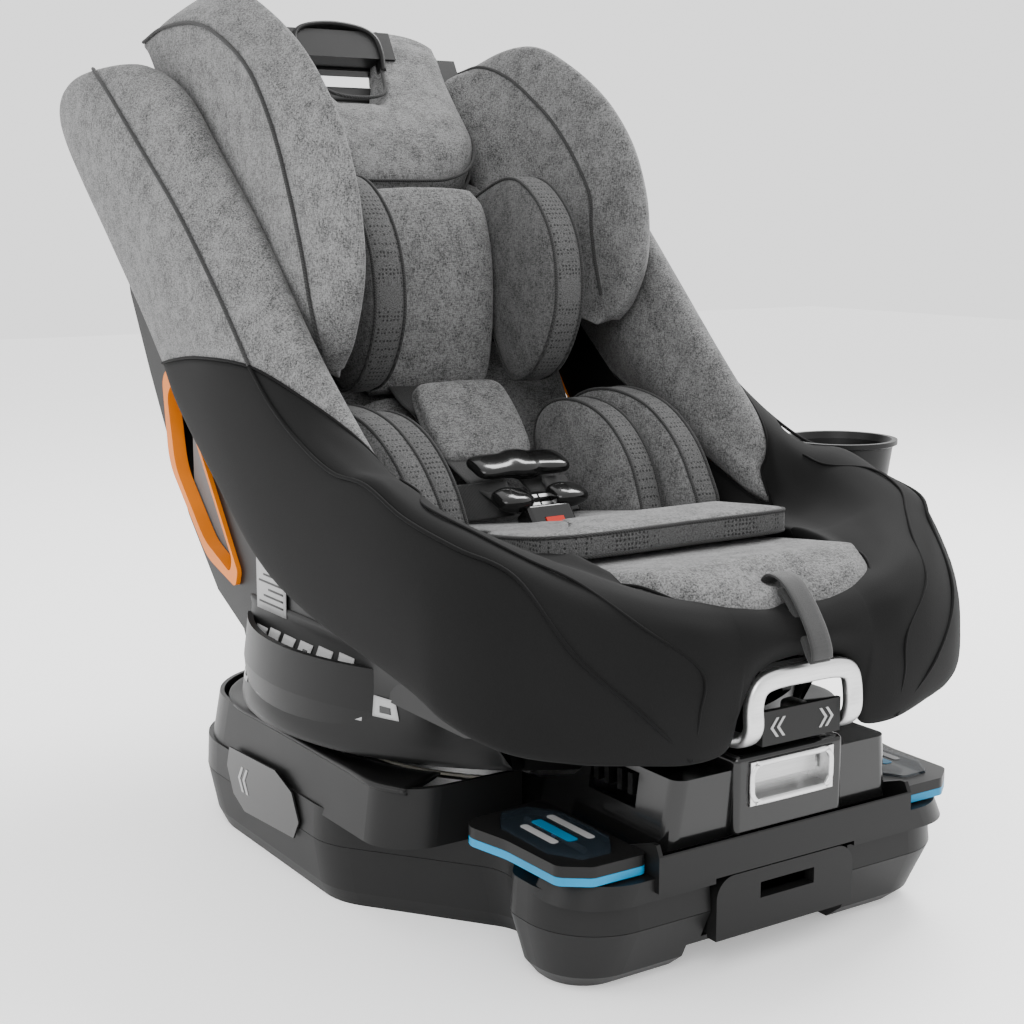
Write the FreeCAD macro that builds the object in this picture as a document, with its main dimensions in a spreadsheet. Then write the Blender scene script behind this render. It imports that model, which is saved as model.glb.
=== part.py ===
"""Rotating convertible car seat.

The seat turns on a ball-bearing turntable. The turntable sits on a cradle that slides on curved rails
in the base, which changes the recline. Millimetres, +Z up, the occupant faces -Y, and the origin is on
the turntable's axis at the underside of the base.
"""
import FreeCAD, Part
import Sketcher
import math
import os

V = FreeCAD.Vector
DOC = FreeCAD.newDocument("car_seat")
DIMS = DOC.addObject("Spreadsheet::Sheet", "dims")
SIDES = (("left", 1), ("right", -1))          # the occupant's left is +X

# Driving dimensions: alias, value, note.
DRIVING = [
    ("base_half_width", 237, "base at the bowl, parting height"),
    ("base_rear", 223, "rear edge of the base"),
    ("base_front", 340, "front edge of the foot, ahead of the axis"),
    ("waist_half_width", 140, "base between bowl and foot"),
    ("foot_half_width", 187, "front foot"),
    ("foot_rear", 262, "rear edge of the foot's ends"),
    ("parting_height", 50, "seam of lower tray and upper housing"),
    ("deck_height", 78, "top of the base at the waist"),
    ("foot_height", 88, "top of the foot's ends"),
    ("bridge_height", 112, "top of the foot's middle, in front of the block"),
    ("well_radius", 469, "floor of the cradle's well about the recline axis"),
    ("well_half_width", 118, "cradle's well"),
    ("rim_height", 118, "rim of the bowl"),
    ("base_wall", 4, "wall of both base shells"),
    ("pivot_y", -130, "recline axis, y"),
    ("pivot_z", 520, "recline axis, z"),
    ("rail_radius", 492.5, "top of the curved rails about the recline axis"),
    ("rail_gap", 0.5, "running clearance under the runners"),
    ("rail_width", 16, "width of rails and runners"),
    ("rail_offset", 60, "inner face of the rails from the middle"),
    ("tray_bottom", 72, "underside of the cradle tray"),
    ("tray_thickness", 8, "cradle tray"),
    ("tray_radius", 168, "cradle tray under the turntable"),
    ("race_radius", 158, "pitch radius of the ball race"),
    ("ball_radius", 5, "bearing ball"),
    ("ball_count", 18, "bearing balls"),
    ("race_width", 16, "radial width of each race ring"),
    ("race_height", 11, "height of each race ring"),
    ("spindle_radius", 24, "central spindle"),
    ("drum_radius", 244, "seat shell's drum"),
    ("drum_bottom", 114, "underside of the drum"),
    ("drum_top", 197, "top of the drum"),
    ("shell_half_width", 210, "outside of the shell's side walls"),
    ("shell_wall", 6, "wall of the seat shell"),
    ("bite_y", 112, "where seat and back surfaces meet, y"),
    ("bite_z", 235, "where seat and back surfaces meet, z"),
    ("back_angle", 29, "recline of the back from the vertical, degrees"),
    ("block_half_width", 111, "front block of the cradle"),
    ("block_front", 338, "front face of the block ahead of the axis"),
    ("block_height", 152, "top of the block"),
    ("handle_half_width", 55, "turn handle, outside"),
    ("handle_bar", 16, "turn handle's bar"),
    ("cup_radius", 51, "cup holder, outside"),
    ("cup_height", 72, "cup holder"),
    ("cup_x", 272, "centre of the cup holder"),
    ("cup_y", -106, "centre of the cup holder"),
    ("cup_top", 338, "rim of the cup holder"),
    ("strap_width", 38, "harness webbing"),
    ("strap_thickness", 2.4, "harness webbing"),
]


def fill_sheet():
    for row, (alias, value, note) in enumerate(DRIVING, start=1):
        DIMS.set("A%d" % row, note)
        DIMS.set("B%d" % row, str(value))
        DIMS.setAlias("B%d" % row, alias)
    DOC.recompute()


fill_sheet()


def dim(alias):
    """The value of a driving dimension."""
    return float(DIMS.get(alias))


def bind(obj, **expressions):
    """Binds properties of an object to expressions in the sheet's aliases. A double underscore stands for a dot."""
    for name, text in expressions.items():
        words = []
        for word in text.replace("(", " ( ").replace(")", " ) ").split():
            words.append("dims." + word if word in ALIASES else word)
        obj.setExpression(name.replace("__", "."), " ".join(words))
    return obj


ALIASES = {alias for alias, _, _ in DRIVING}
PARTS = []          # the sub-parts, in the order they are made
BACK = FreeCAD.Rotation(V(1, 0, 0), -dim("back_angle"))
BITE = V(0, dim("bite_y"), dim("bite_z"))
BACK_FRAME = FreeCAD.Placement(BITE, BACK)   # its z runs up the back, its -y points out of it
PIVOT = V(0, dim("pivot_y"), dim("pivot_z"))


# ---------------------------------------------------------------- ways of making a sub-part

def keep(obj, label):
    """Registers an object as a sub-part under its label."""
    obj.Label = label
    PARTS.append(obj)
    return obj


def feature(label, shape, placement=None):
    """A sub-part whose shape is freeform, made with Part's own functions."""
    obj = DOC.addObject("Part::Feature", label)
    obj.Shape = shape
    if placement is not None:
        obj.Placement = placement
    return keep(obj, label)


def primitive(kind, name, at=None, rotation=None, **expressions):
    """A Part primitive with its sizes, and if wanted its place, bound to the sheet."""
    obj = DOC.addObject("Part::" + kind, name)
    if at is not None:
        obj.Placement = FreeCAD.Placement(V(*at), rotation or FreeCAD.Rotation())
    return bind(obj, **expressions)


def boolean(kind, name, base, tool):
    """A Part::Cut or Part::Common of two objects."""
    obj = DOC.addObject("Part::" + kind, name)
    obj.Base = base
    obj.Tool = tool
    return obj


def joined(name, members):
    obj = DOC.addObject("Part::MultiFuse", name)
    obj.Shapes = members
    return obj


def origin_plane(body, role):
    return next(f for f in body.Origin.OriginFeatures if f.Role == role)


def sketch_on(body, role, name):
    sketch = body.newObject("Sketcher::SketchObject", name)
    sketch.AttachmentSupport = [(origin_plane(body, role), "")]
    sketch.MapMode = "FlatFace"
    return sketch


def closed_outline(points):
    """A closed polygon of line segments for a sketch."""
    corners = [V(p[0], p[1], 0) for p in points]
    return [Part.LineSegment(a, b) for a, b in zip(corners, corners[1:] + corners[:1])]


def rounded_wire(corners, z):
    """A closed plan outline at height z from (x, y, corner radius), arcs at the corners."""
    edges = []
    count = len(corners)
    starts, ends = [], []
    for i in range(count):
        before, here, after = (V(c[0], c[1], z) for c in (corners[i - 1], corners[i], corners[(i + 1) % count]))
        to_before, to_after = (before - here).normalize(), (after - here).normalize()
        half_turn = to_before.getAngle(to_after) / 2
        reach = corners[i][2] / math.tan(half_turn)
        middle = here + (to_before + to_after).normalize() * (corners[i][2] / math.sin(half_turn) - corners[i][2])
        starts.append(here + to_before * reach)
        ends.append(here + to_after * reach)
        edges.append(Part.Arc(starts[-1], middle, ends[-1]).toShape())
    outline = []
    for i in range(count):
        outline.append(edges[i])
        outline.append(Part.LineSegment(ends[i], starts[(i + 1) % count]).toShape())
    return Part.Wire(outline)


def mirrored(half):
    """The whole outline from its +X half, which runs from the rear middle to the front middle."""
    return half + [(-x, y, r) for x, y, r in reversed(half)]


def box(x0, x1, y0, y1, z0, z1):
    return Part.makeBox(x1 - x0, y1 - y0, z1 - z0, V(x0, y0, z0))


def side_prism(points, x0, x1):
    """A prism across the seat: an outline of (y, z) points, from x0 to x1."""
    wire = Part.makePolygon([V(x0, y, z) for y, z in points + points[:1]])
    return Part.Face(wire).extrude(V(x1 - x0, 0, 0))


def rounded(shape, radius, edges=None):
    """The shape with its edges rounded, as far as the kernel can."""
    return shape.makeFillet(radius, edges or shape.Edges)


def mirror_x(shape):
    return shape.mirror(V(0, 0, 0), V(1, 0, 0))


# ---------------------------------------------------------------- base

def base_outline(z, inset=0.0, spread=0.0):
    """Plan outline of the base: a wide rear bowl, a waist and a foot. Spread moves the walls outwards."""
    wide = dim("base_half_width") + spread - inset
    foot = dim("foot_half_width") + 2 * spread - inset
    front = -dim("base_front") - 3 * spread + inset
    return rounded_wire(mirrored([
        (wide, dim("base_rear") + spread - inset, 90),
        (wide, -75, 60 - inset),
        (dim("waist_half_width") + spread - inset, -205, 40 + inset),
        (foot, -dim("foot_rear") - inset, 22),
        (foot, front, 56 + 2.2 * spread - inset),
    ]), z)


def base_loft(levels):
    return Part.makeLoft([base_outline(z, inset, spread) for z, inset, spread in levels], True, True)


DRAWER_HALF_WIDTH = 66
DRAWER_BOTTOM, DRAWER_TOP = 28, 75


PAD_SPOTS = [(190, 120), (-190, 120), (110, 180), (-110, 180), (130, -270), (-130, -270)]
SCREW_SPOTS = [(68, -225), (-68, -225), (68, 30), (-68, 30)]


def base_lower_tray():
    wall = dim("base_wall")
    top = dim("parting_height")
    outer = base_loft([(0, 0, -11), (12, 0, -6), (top, 0, 0)])
    outer = outer.cut(box(-78, 78, -400, -245, -1, 22))
    inner = base_loft([(wall, wall, -10), (12, wall, -6), (top + 1, wall, 0)])
    inner = inner.cut(box(-82, 82, -400, -241, -1, 26))
    tray = outer.cut(inner)
    for x, y in PAD_SPOTS:
        tray = tray.cut(Part.makeCylinder(14.2, 3.1, V(x, y, -1)))
    for x, y in SCREW_SPOTS:
        tray = tray.cut(Part.makeCylinder(4.3, 6, V(x, y, -1)))
    tray = tray.cut(box(-DRAWER_HALF_WIDTH - 1, DRAWER_HALF_WIDTH + 1, -400, -300, DRAWER_BOTTOM - 1, 90))
    return feature("base_lower_tray", tray)


def bowl_outline(z, inset, shrink):
    wide = dim("base_half_width") - shrink - inset
    return rounded_wire(mirrored([
        (wide, dim("base_rear") - shrink - inset, 96 - inset),
        (wide, -175 + inset, 40),
    ]), z)


def foot_outline(z, inset, shrink, rear=-284):
    wide = dim("foot_half_width") - shrink - inset
    front = -dim("base_front") - 5 + inset
    return rounded_wire(mirrored([(wide, rear - inset, 8), (wide, front, 44 - inset)]), z)


def base_upper_housing():
    """Upper moulding: bowl, waist, foot with its bridge, and the well that the cradle slides in."""
    wall, half = dim("base_wall"), dim("well_half_width")
    seam = dim("parting_height") + 0.4
    deck, foot_top, rim = dim("deck_height"), dim("foot_height"), dim("rim_height")
    front = -dim("base_front") - 5
    outer = base_loft([(seam, 0, 0), (deck, 0, -1)])
    bowl = Part.makeLoft([bowl_outline(deck - 6, 0, 2), bowl_outline(rim, 0, 8)], True, True)
    foot = Part.makeLoft([foot_outline(deck - 6, 0, 1), foot_outline(foot_top, 0, 9)], True, True)
    bridge = side_prism([(front - 4, deck), (front - 4, 104), (front, dim("bridge_height")), (front + 5, dim("bridge_height")),
                         (-284, 92), (-284, deck)], -half - 3.5, half + 3.5)
    shoulders = [box(min(s * half, s * 150), max(s * half, s * 150), -330, -208, deck - 3, 89.5) for _, s in SIDES]
    outer = outer.fuse([bowl, foot, bridge] + shoulders).removeSplitter()
    inner = base_loft([(seam - 1, wall, 0), (deck - wall, wall, -1)])
    bowl_in = Part.makeLoft([bowl_outline(deck - 8, wall, 2), bowl_outline(rim + 1, wall, 8)], True, True)
    foot_in = Part.makeLoft([foot_outline(deck - 8, wall, 1), foot_outline(foot_top - wall, wall, 9)], True, True)
    arc = Part.makeCylinder(dim("well_radius"), 2 * half, V(-half, PIVOT.y, PIVOT.z), V(1, 0, 0))
    arc = arc.cut(box(-half, half, 175, 600, 0, 900))
    housing = outer.cut(inner).cut(bowl_in).cut(foot_in).cut(arc)
    gap = DRAWER_HALF_WIDTH + 1
    housing = housing.cut(box(-gap, gap, -400, -320, seam - 1, DRAWER_TOP + 1))
    rear_relief = rounded(box(-150, 150, 195, 245, 100.5, 150), 14)      # the tray passes over it in full recline
    return feature("base_upper_housing", housing.cut(rear_relief))


def storage_drawer():
    """Shallow drawer for the booklet: a face panel with a finger slot, and an open tray behind it."""
    half = DRAWER_HALF_WIDTH
    front = -dim("base_front") - 5
    panel = box(-half, half, front, front + 10, DRAWER_BOTTOM, DRAWER_TOP)
    corner_edges = [e for e in panel.Edges if e.BoundBox.ZMin > DRAWER_TOP - 1 and e.BoundBox.YLength > 9]
    panel = panel.makeFillet(16, corner_edges)
    panel = panel.cut(box(-25, 27, front - 1, front + 11, 52, 64))
    tray = box(-half + 2, half - 2, front + 10, -272, DRAWER_BOTTOM + 1, 49)
    tray = tray.cut(box(-half + 4, half - 4, front + 12, -274, DRAWER_BOTTOM + 3, 60))
    return feature("storage_drawer", panel.fuse(tray).removeSplitter())


def recline_rails():
    """Two rails whose tops are arcs about the recline axis, and the rack between them."""
    rails = []
    for side, sign in SIDES:
        block = primitive("Box", "rail_block_" + side, Width="298", Height="70", Length="rail_width",
                          Placement__Base__x="rail_offset" if sign > 0 else "0 - rail_offset - rail_width",
                          Placement__Base__y="0 - 238", Placement__Base__z="base_wall + 0.2")
        drum = primitive("Cylinder", "rail_arc_" + side, at=(-150, 0, 0), rotation=FreeCAD.Rotation(V(0, 1, 0), 90),
                         Radius="rail_radius", Height="300",
                         Placement__Base__y="pivot_y", Placement__Base__z="pivot_z")
        rails.append(boolean("Cut", "rail_" + side, block, drum))
    rails.append(recline_rack())
    return keep(joined("recline_track_fuse", rails), "recline_track")


def recline_rack():
    """Notched arc between the rails: the pawl drops into a notch to hold each recline step."""
    radius = dim("rail_radius")
    base = box(-12, 12, -160, -22, dim("base_wall") + 0.2, 60)
    rack = base.cut(Part.makeCylinder(radius, 60, V(-30, PIVOT.y, PIVOT.z), V(1, 0, 0)))
    for step in range(5):
        notch = box(-13, 13, -5.5, 5.5, -radius - 7, -radius + 6)
        notch.rotate(V(0, 0, 0), V(1, 0, 0), 2.5 * step)
        notch.translate(PIVOT)
        rack = rack.cut(notch)
    obj = DOC.addObject("Part::Feature", "rack")
    obj.Shape = rack
    return obj


def belt_guides():
    """The side wings that guide the vehicle belt over the foot, each with a coloured lower edge."""
    top, thick = 104, 8
    guides, trims = [], []
    for side, sign in SIDES:
        half = [(sign * 122, -206, 6), (sign * 200, -214, 16), (sign * 190, -262, 60), (sign * 188, -322, 10),
                (sign * 168, -337, 10), (sign * 122, -337, 6)]
        upper = Part.Face(rounded_wire(half, top - thick)).extrude(V(0, 0, thick))
        pocket = Part.Face(rounded_wire(window_outline(sign, 0.3), top - 4)).extrude(V(0, 0, 6))
        guides.append(upper.cut(pocket))
        trims.append(Part.Face(rounded_wire(half, top - thick - 6.2)).extrude(V(0, 0, 6)))
    feature("belt_guides", Part.makeCompound(guides))
    feature("belt_guide_trims", Part.makeCompound(trims))


def window_outline(sign, grow=0.0):
    """The level window: a long hexagon."""
    cx, cy = sign * 154, -270
    wide, long_, tip = 26 + grow, 52 + grow, 30
    return [(cx + wide * 0.45, cy + long_, 4), (cx + wide, cy + tip, 6), (cx + wide, cy - tip, 6),
            (cx + wide * 0.45, cy - long_, 4), (cx - wide * 0.45, cy - long_, 4), (cx - wide, cy - tip, 6),
            (cx - wide, cy + tip, 6), (cx - wide * 0.45, cy + long_, 4)]


def level_indicators():
    """A clear capsule with a rolling ball in each belt guide."""
    lenses = []
    for side, sign in SIDES:
        lens = Part.Face(rounded_wire(window_outline(sign), 100.1)).extrude(V(0, 0, 5.9))
        channel = Part.makeCylinder(2.6, 72, V(sign * 154, -306, 103), V(0, 1, 0))
        lenses.append(lens.cut(channel))
        ball = primitive("Sphere", "ball_" + side, at=(sign * 154, -270, 103), Radius="ball_radius * 0.46")
        keep(ball, "level_ball_" + side)
    feature("level_windows", Part.makeCompound(lenses))


def rubber_pads():
    """Anti-slip pads under the base, glued into shallow pockets."""
    pads = [primitive("Cylinder", "pad_%d" % n, at=(x, y, 0), Radius="14", Height="base_wall * 0.5")
            for n, (x, y) in enumerate(PAD_SPOTS)]
    return keep(joined("pads", pads), "rubber_pads")


def base_screws():
    """Pan-head screws that hold the rails to the lower tray."""
    screws = []
    for n, (x, y) in enumerate(SCREW_SPOTS):
        screws.append(primitive("Cylinder", "screw_%d" % n, at=(x, y, 1.2), Radius="4", Height="2.6"))
    return keep(joined("screws", screws), "base_screws")


# ---------------------------------------------------------------- cradle

def cradle_tray():
    """Plate under the turntable, with a tongue forwards under the block and a rim of stiffening."""
    z, thick = dim("tray_bottom"), dim("tray_thickness")
    plate = Part.makeCylinder(dim("tray_radius"), thick, V(0, 0, z))
    plate = plate.fuse(box(-104, 104, -255, -60, z, z + thick)).removeSplitter()
    return feature("cradle_tray", plate)


def cradle_runners():
    """Two runners under the tray whose soles are arcs about the recline axis."""
    runners = []
    for side, sign in SIDES:
        block = primitive("Box", "runner_block_" + side, Width="205", Length="rail_width - 1", Height="60",
                          Placement__Base__x="rail_offset + 0.5" if sign > 0 else "0.5 - rail_offset - rail_width",
                          Placement__Base__y="0 - 215", Placement__Base__z="tray_bottom - 60.2")
        sole = primitive("Cylinder", "runner_arc_" + side, at=(-150, 0, 0), rotation=FreeCAD.Rotation(V(0, 1, 0), 90),
                         Radius="rail_radius - rail_gap", Height="300",
                         Placement__Base__y="pivot_y", Placement__Base__z="pivot_z")
        runners.append(boolean("Common", "runner_" + side, block, sole))
    return keep(joined("runners", runners), "cradle_runners")


def race_ring(label, bottom, groove_z):
    """One ring of the turntable's ball race, with a round groove."""
    mid, half = dim("race_radius"), dim("race_width") / 2
    ring = Part.makeCylinder(mid + half, dim("race_height"), V(0, 0, bottom))
    ring = ring.cut(Part.makeCylinder(mid - half, dim("race_height") + 2, V(0, 0, bottom - 1)))
    ring = ring.cut(Part.makeTorus(mid, dim("ball_radius") + 0.3, V(0, 0, groove_z)))
    return feature(label, ring)


BALL_Z = 94.0


def turntable():
    tray_top = dim("tray_bottom") + dim("tray_thickness")
    race_ring("lower_race_ring", tray_top + 0.1, BALL_Z)
    race_ring("upper_race_ring", BALL_Z + 2.9, BALL_Z)
    count, mid = int(dim("ball_count")), dim("race_radius")
    angles = [360.0 / count * n for n in range(count)]
    spots = [V(mid * math.cos(math.radians(a)), mid * math.sin(math.radians(a)), BALL_Z) for a in angles]
    feature("bearing_balls", Part.makeCompound([Part.makeSphere(dim("ball_radius"), p) for p in spots]))
    cage = Part.makeCylinder(mid + 6, 2, V(0, 0, BALL_Z - 1)).cut(Part.makeCylinder(mid - 6, 4, V(0, 0, BALL_Z - 2)))
    for p in spots:
        cage = cage.cut(Part.makeCylinder(dim("ball_radius") + 0.35, 6, V(p.x, p.y, BALL_Z - 3)))
    feature("bearing_cage", cage)
    spindle()


def spindle():
    """The kingpin: a hollow post with a head that holds the seat down on the race."""
    body = DOC.addObject("PartDesign::Body", "spindle")
    sketch = sketch_on(body, "XZ_Plane", "spindle_profile")
    r = dim("spindle_radius")
    bottom = dim("tray_bottom") + dim("tray_thickness") + 0.1
    sketch.addGeometry(closed_outline([(12, bottom), (r + 14, bottom), (r + 14, bottom + 8), (r, bottom + 12), (r, 114.6),
                                       (r + 12, 115.2), (r + 12, 120), (12, 120)]), False)
    turned = body.newObject("PartDesign::Revolution", "spindle_turned")
    turned.Profile = sketch
    turned.ReferenceAxis = (sketch, ["V_Axis"])
    turned.Angle = 360
    keep(body, "turntable_spindle")


def drum_clearance(gap):
    """The space that the turning drum sweeps, grown by a gap."""
    r, low = dim("drum_radius"), dim("drum_bottom")
    profile = [V(0, 0, low - gap), V(200 + gap, 0, low - gap), V(r + gap, 0, low + 12), V(r + gap + 34, 0, low + 50),
               V(r + gap + 34, 0, low + 70), V(0, 0, low + 70)]
    face = Part.Face(Part.makePolygon(profile + profile[:1]))
    return face.revolve(V(0, 0, 0), V(0, 0, 1), 360)


def cradle_block():
    """The front block of the cradle: a hollow housing with a raised middle, docks and the lever's recess."""
    half, front, top = dim("block_half_width"), -dim("block_front"), dim("block_height")
    low = dim("tray_bottom") + dim("tray_thickness") + 0.2

    def frustum(grow, z_low, z_high):
        lower = rounded_wire([(half + grow, -150 + grow, 6), (half + grow, front - grow, 10),
                              (-half - grow, front - grow, 10), (-half - grow, -150 + grow, 6)], z_low)
        upper = rounded_wire([(half - 10 + grow, -150 + grow, 6), (half - 10 + grow, front - grow - 4, 10),
                              (-half + 10 - grow, front - grow - 4, 10), (-half + 10 - grow, -150 + grow, 6)], z_high)
        return Part.makeLoft([lower, upper], True, True)

    outer = frustum(0, low, top)
    hump = rounded(box(-52, 52, front - 8, -262, low + 20, top + 10), 5)
    sole = Part.makeCylinder(dim("well_radius") - 2, 300, V(-150, PIVOT.y, PIVOT.z), V(1, 0, 0))
    race_space = Part.makeCylinder(dim("race_radius") + 31, 60, V(0, 0, 79))
    block = outer.fuse(hump).cut(drum_clearance(4)).cut(race_space).common(sole)
    hollow = frustum(-4, low - 1, top - 4).cut(box(-60, 60, front - 20, front + 24, 0, 300))
    block = block.cut(hollow.fuse(box(-44, 44, front + 24, -180, low - 1, top)))
    block = block.cut(box(-40, 40, front - 20, front + 16, 124, 157))
    for _, sign in SIDES:
        block = block.cut(box(min(sign * 60, sign * 130), max(sign * 60, sign * 130), -300, -244, 122, 147.6))
    return feature("cradle_block", block)


def recline_bezel():
    """Bright tray that lines the lever's recess."""
    front = -dim("block_front")
    outer = box(-39.5, 39.5, front - 10, front + 15.5, 124.5, 156.5)
    inner = box(-35.5, 35.5, front - 20, front + 12, 128.5, 152.5)
    return feature("recline_bezel", outer.cut(inner))


def recline_paddle():
    """The lever inside the recess: a paddle hung from its top edge and squeezed towards the back."""
    front = -dim("block_front")
    plate = box(-33, 33, front + 2, front + 5, 136, 150)
    barrel = Part.makeCylinder(2.6, 66, V(-33, front + 3.6, 149.6), V(1, 0, 0))
    return feature("recline_lever", plate.fuse(barrel).removeSplitter())


PAWL_TIP = 520 - 492.5 + 0.5


def recline_pawl():
    """Lock bar that drops into the rack. It is drawn riding on the crests, just clear of them."""
    bar = box(-10, 10, -135, -125, PAWL_TIP, 60)
    return feature("recline_pawl", rounded(bar, 1.2))


def anchor_connectors():
    """Lower anchor connectors in their docks: a jaw and a short stub of webbing on each side."""
    for side, sign in SIDES:
        bodies = []
        for y in (-286, -258):
            jaw = box(0, 34, y - 9, y + 9, 130, 146)
            jaw = jaw.cut(box(20, 35, y - 3.5, y + 3.5, 129, 147))
            bodies.append(jaw)
        shape = bodies[0].fuse([bodies[1], box(0, 8, -286, -258, 132, 144)]).removeSplitter()
        shape.translate(V(70, 0, 0))
        feature("anchor_connector_" + side, shape if sign > 0 else mirror_x(shape))


# ---------------------------------------------------------------- seat structure

def seat_base_plate():
    """Steel plate that bolts the upper race to the shell and turns round the spindle."""
    body = DOC.addObject("PartDesign::Body", "seat_base_plate")
    sketch = sketch_on(body, "XY_Plane", "plate_outline")
    sketch.addGeometry(Part.Circle(V(0, 0, 0), V(0, 0, 1), 185), False)
    sketch.addGeometry(Part.Circle(V(0, 0, 0), V(0, 0, 1), dim("spindle_radius") + 0.4), False)
    sketch.addGeometry(Part.Circle(V(0, -111, 0), V(0, 0, 1), 6.6), False)
    outer = sketch.addConstraint(Sketcher.Constraint("Radius", 0, 185))
    sketch.renameConstraint(outer, "plate_radius")
    sketch.setExpression("Constraints.plate_radius", "dims.race_radius + 27")
    pad = body.newObject("PartDesign::Pad", "plate_pad")
    pad.Profile = sketch
    pad.Length = 5.6
    body.Placement = FreeCAD.Placement(V(0, 0, 108.1), FreeCAD.Rotation())
    return keep(body, "seat_base_plate")


def swivel_lock():
    """Lock ring on the tray and the pin that drops into its four holes. The pin is drawn lifted, just clear."""
    bottom = dim("tray_bottom") + dim("tray_thickness") + 0.1
    ring = Part.makeCylinder(124, 24, V(0, 0, bottom)).cut(Part.makeCylinder(98, 26, V(0, 0, bottom - 1)))
    for n in range(4):
        spot = V(111 * math.sin(math.pi / 2 * n), -111 * math.cos(math.pi / 2 * n), bottom + 4)
        ring = ring.cut(Part.makeCylinder(6.6, 30, spot))
    feature("swivel_lock_ring", ring)
    feature("swivel_lock_pin", Part.makeCylinder(6, 52, V(0, -111, bottom + 24.5)))


CREST = [(-352, 205), (-345, 250), (-308, 290), (-278, 312), (-230, 334), (-180, 345), (-95, 352), (-65, 376), (3, 442),
         (108, 538), (200, 606), (290, 650), (352, 662), (434, 656), (449, 622)]
COVER_HEM = [(396, 535), (335, 489), (272, 413), (224, 372), (151, 317), (82, 266), (17, 236), (-61, 218), (-156, 208),
             (-227, 203), (-288, 200), (-335, 168)]
SHELL_CREST = [(-300, 190), (-303, 235), (-285, 268), (-235, 305), (-180, 316), (-95, 322), (-50, 345), (0, 392), (60, 450),
               (130, 514), (205, 572), (285, 622), (345, 636), (392, 630)]
SHELL_REAR = [(384, 545), (368, 462), (325, 390), (242, 264), (180, 204), (120, 176), (-240, 176)]
WINDOW = [(278, 386, 16), (246, 384, 10), (136, 238, 8), (140, 224, 6), (196, 244, 60), (262, 306, 50)]


def band(points, thickness):
    """A strip along a polyline of (y, z) points, its thickness to the left of the way it runs."""
    offset = []
    for i, (y, z) in enumerate(points):
        before = points[max(i - 1, 0)]
        after = points[min(i + 1, len(points) - 1)]
        dy, dz = after[0] - before[0], after[1] - before[1]
        size = math.hypot(dy, dz)
        offset.append((y - dz / size * thickness, z + dy / size * thickness))
    return points + offset[::-1]


def local(points):
    """Points given as (out of the back, up the back) turned into (y, z) of the seat."""
    return [((BACK_FRAME * V(0, -out, up)).y, (BACK_FRAME * V(0, -out, up)).z) for out, up in points]


def window_prism(x0, x1, grow):
    """The belt path window through a side wall, as a prism across the seat."""
    middle = (sum(c[0] for c in WINDOW) / len(WINDOW), sum(c[1] for c in WINDOW) / len(WINDOW))
    corners = []
    for y, z, r in WINDOW:
        size = math.hypot(y - middle[0], z - middle[1])
        corners.append((y + (y - middle[0]) / size * grow, z + (z - middle[1]) / size * grow, r))
    wire = rounded_wire(corners, 0)
    wire.Placement = FreeCAD.Placement(V(x0, 0, 0), FreeCAD.Rotation(V(1, 1, 1), 120))
    return Part.Face(wire).extrude(V(x1 - x0, 0, 0))


def between(sign, a, b):
    """The two x values of a slab on one side, in rising order."""
    return min(sign * a, sign * b), max(sign * a, sign * b)


def seat_shell():
    """The bucket: a turned drum, two side walls, a pan and a back, all one moulding."""
    wall, half = dim("shell_wall"), dim("shell_half_width")
    r, low, high = dim("drum_radius"), dim("drum_bottom"), dim("drum_top")
    profile = [V(46, 0, low), V(192, 0, low), V(r - 12, 0, low + 10), V(r - 2, 0, low + 26), V(r, 0, low + 50),
               V(r - 4, 0, high), V(r - 9, 0, high), V(r - 5, 0, low + 50), V(r - 7, 0, low + 28),
               V(r - 15, 0, low + 15), V(190, 0, low + 5), V(46, 0, low + 5)]
    drum = Part.Face(Part.makePolygon(profile + profile[:1])).revolve(V(0, 0, 0), V(0, 0, 1), 360)
    drum = drum.cut(box(-half, half, -260, -206, 150, 300)).cut(Part.makeCylinder(7, 40, V(0, -111, low - 10)))
    members = [side_prism(SHELL_CREST + SHELL_REAR, *between(sign, half, half - wall)) for _, sign in SIDES]
    members.append(box(-half + wall - 1, half - wall + 1, -298, 143, 196, 202))
    members.append(side_prism(local([(-45, -46), (-45, 440), (-51, 440), (-51, -46)]), -half + wall - 1, half - wall + 1))
    lip = [(-298, 189), (-298, 199), (-291, 199), (-291, 193), (-246, 183), (-246, 178)]
    members.append(side_prism(lip, -half + wall - 1, half - wall + 1))
    members.append(cup_socket())
    shell = drum.fuse(members).removeSplitter()
    for _, sign in SIDES:
        shell = shell.cut(window_prism(*between(sign, 190, 230), 0))
    shell = shell.cut(box(-62, 62, -310, -262, 160, 195.9))
    return feature("seat_shell", shell)


def shell_rear_cover():
    """The moulding behind the back, with a raised oval panel and the tether's storage slot."""
    half = dim("shell_half_width") - dim("shell_wall") - 0.5
    line = [(384, 592), (384, 545), (368, 462), (325, 390), (242, 264), (192, 214)]
    cover = side_prism(band(line, -5), -half, half)
    roof = side_prism([(384, 592), (379, 592), (371, 598), (372, 603), (384, 600)], -half, half)
    cover = cover.fuse(roof).removeSplitter()
    oval = Part.makeCylinder(70, 400, V(0, 200, 330), V(0, 1, 0))
    stretch = FreeCAD.Matrix()
    stretch.scale(1.5, 1, 1)
    oval = oval.transformGeometry(stretch)
    raised = side_prism(band([(368, 462), (325, 390), (242, 264)], 3), -half, half).common(oval)
    return feature("shell_rear_cover", cover.fuse(raised).removeSplitter())


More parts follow.
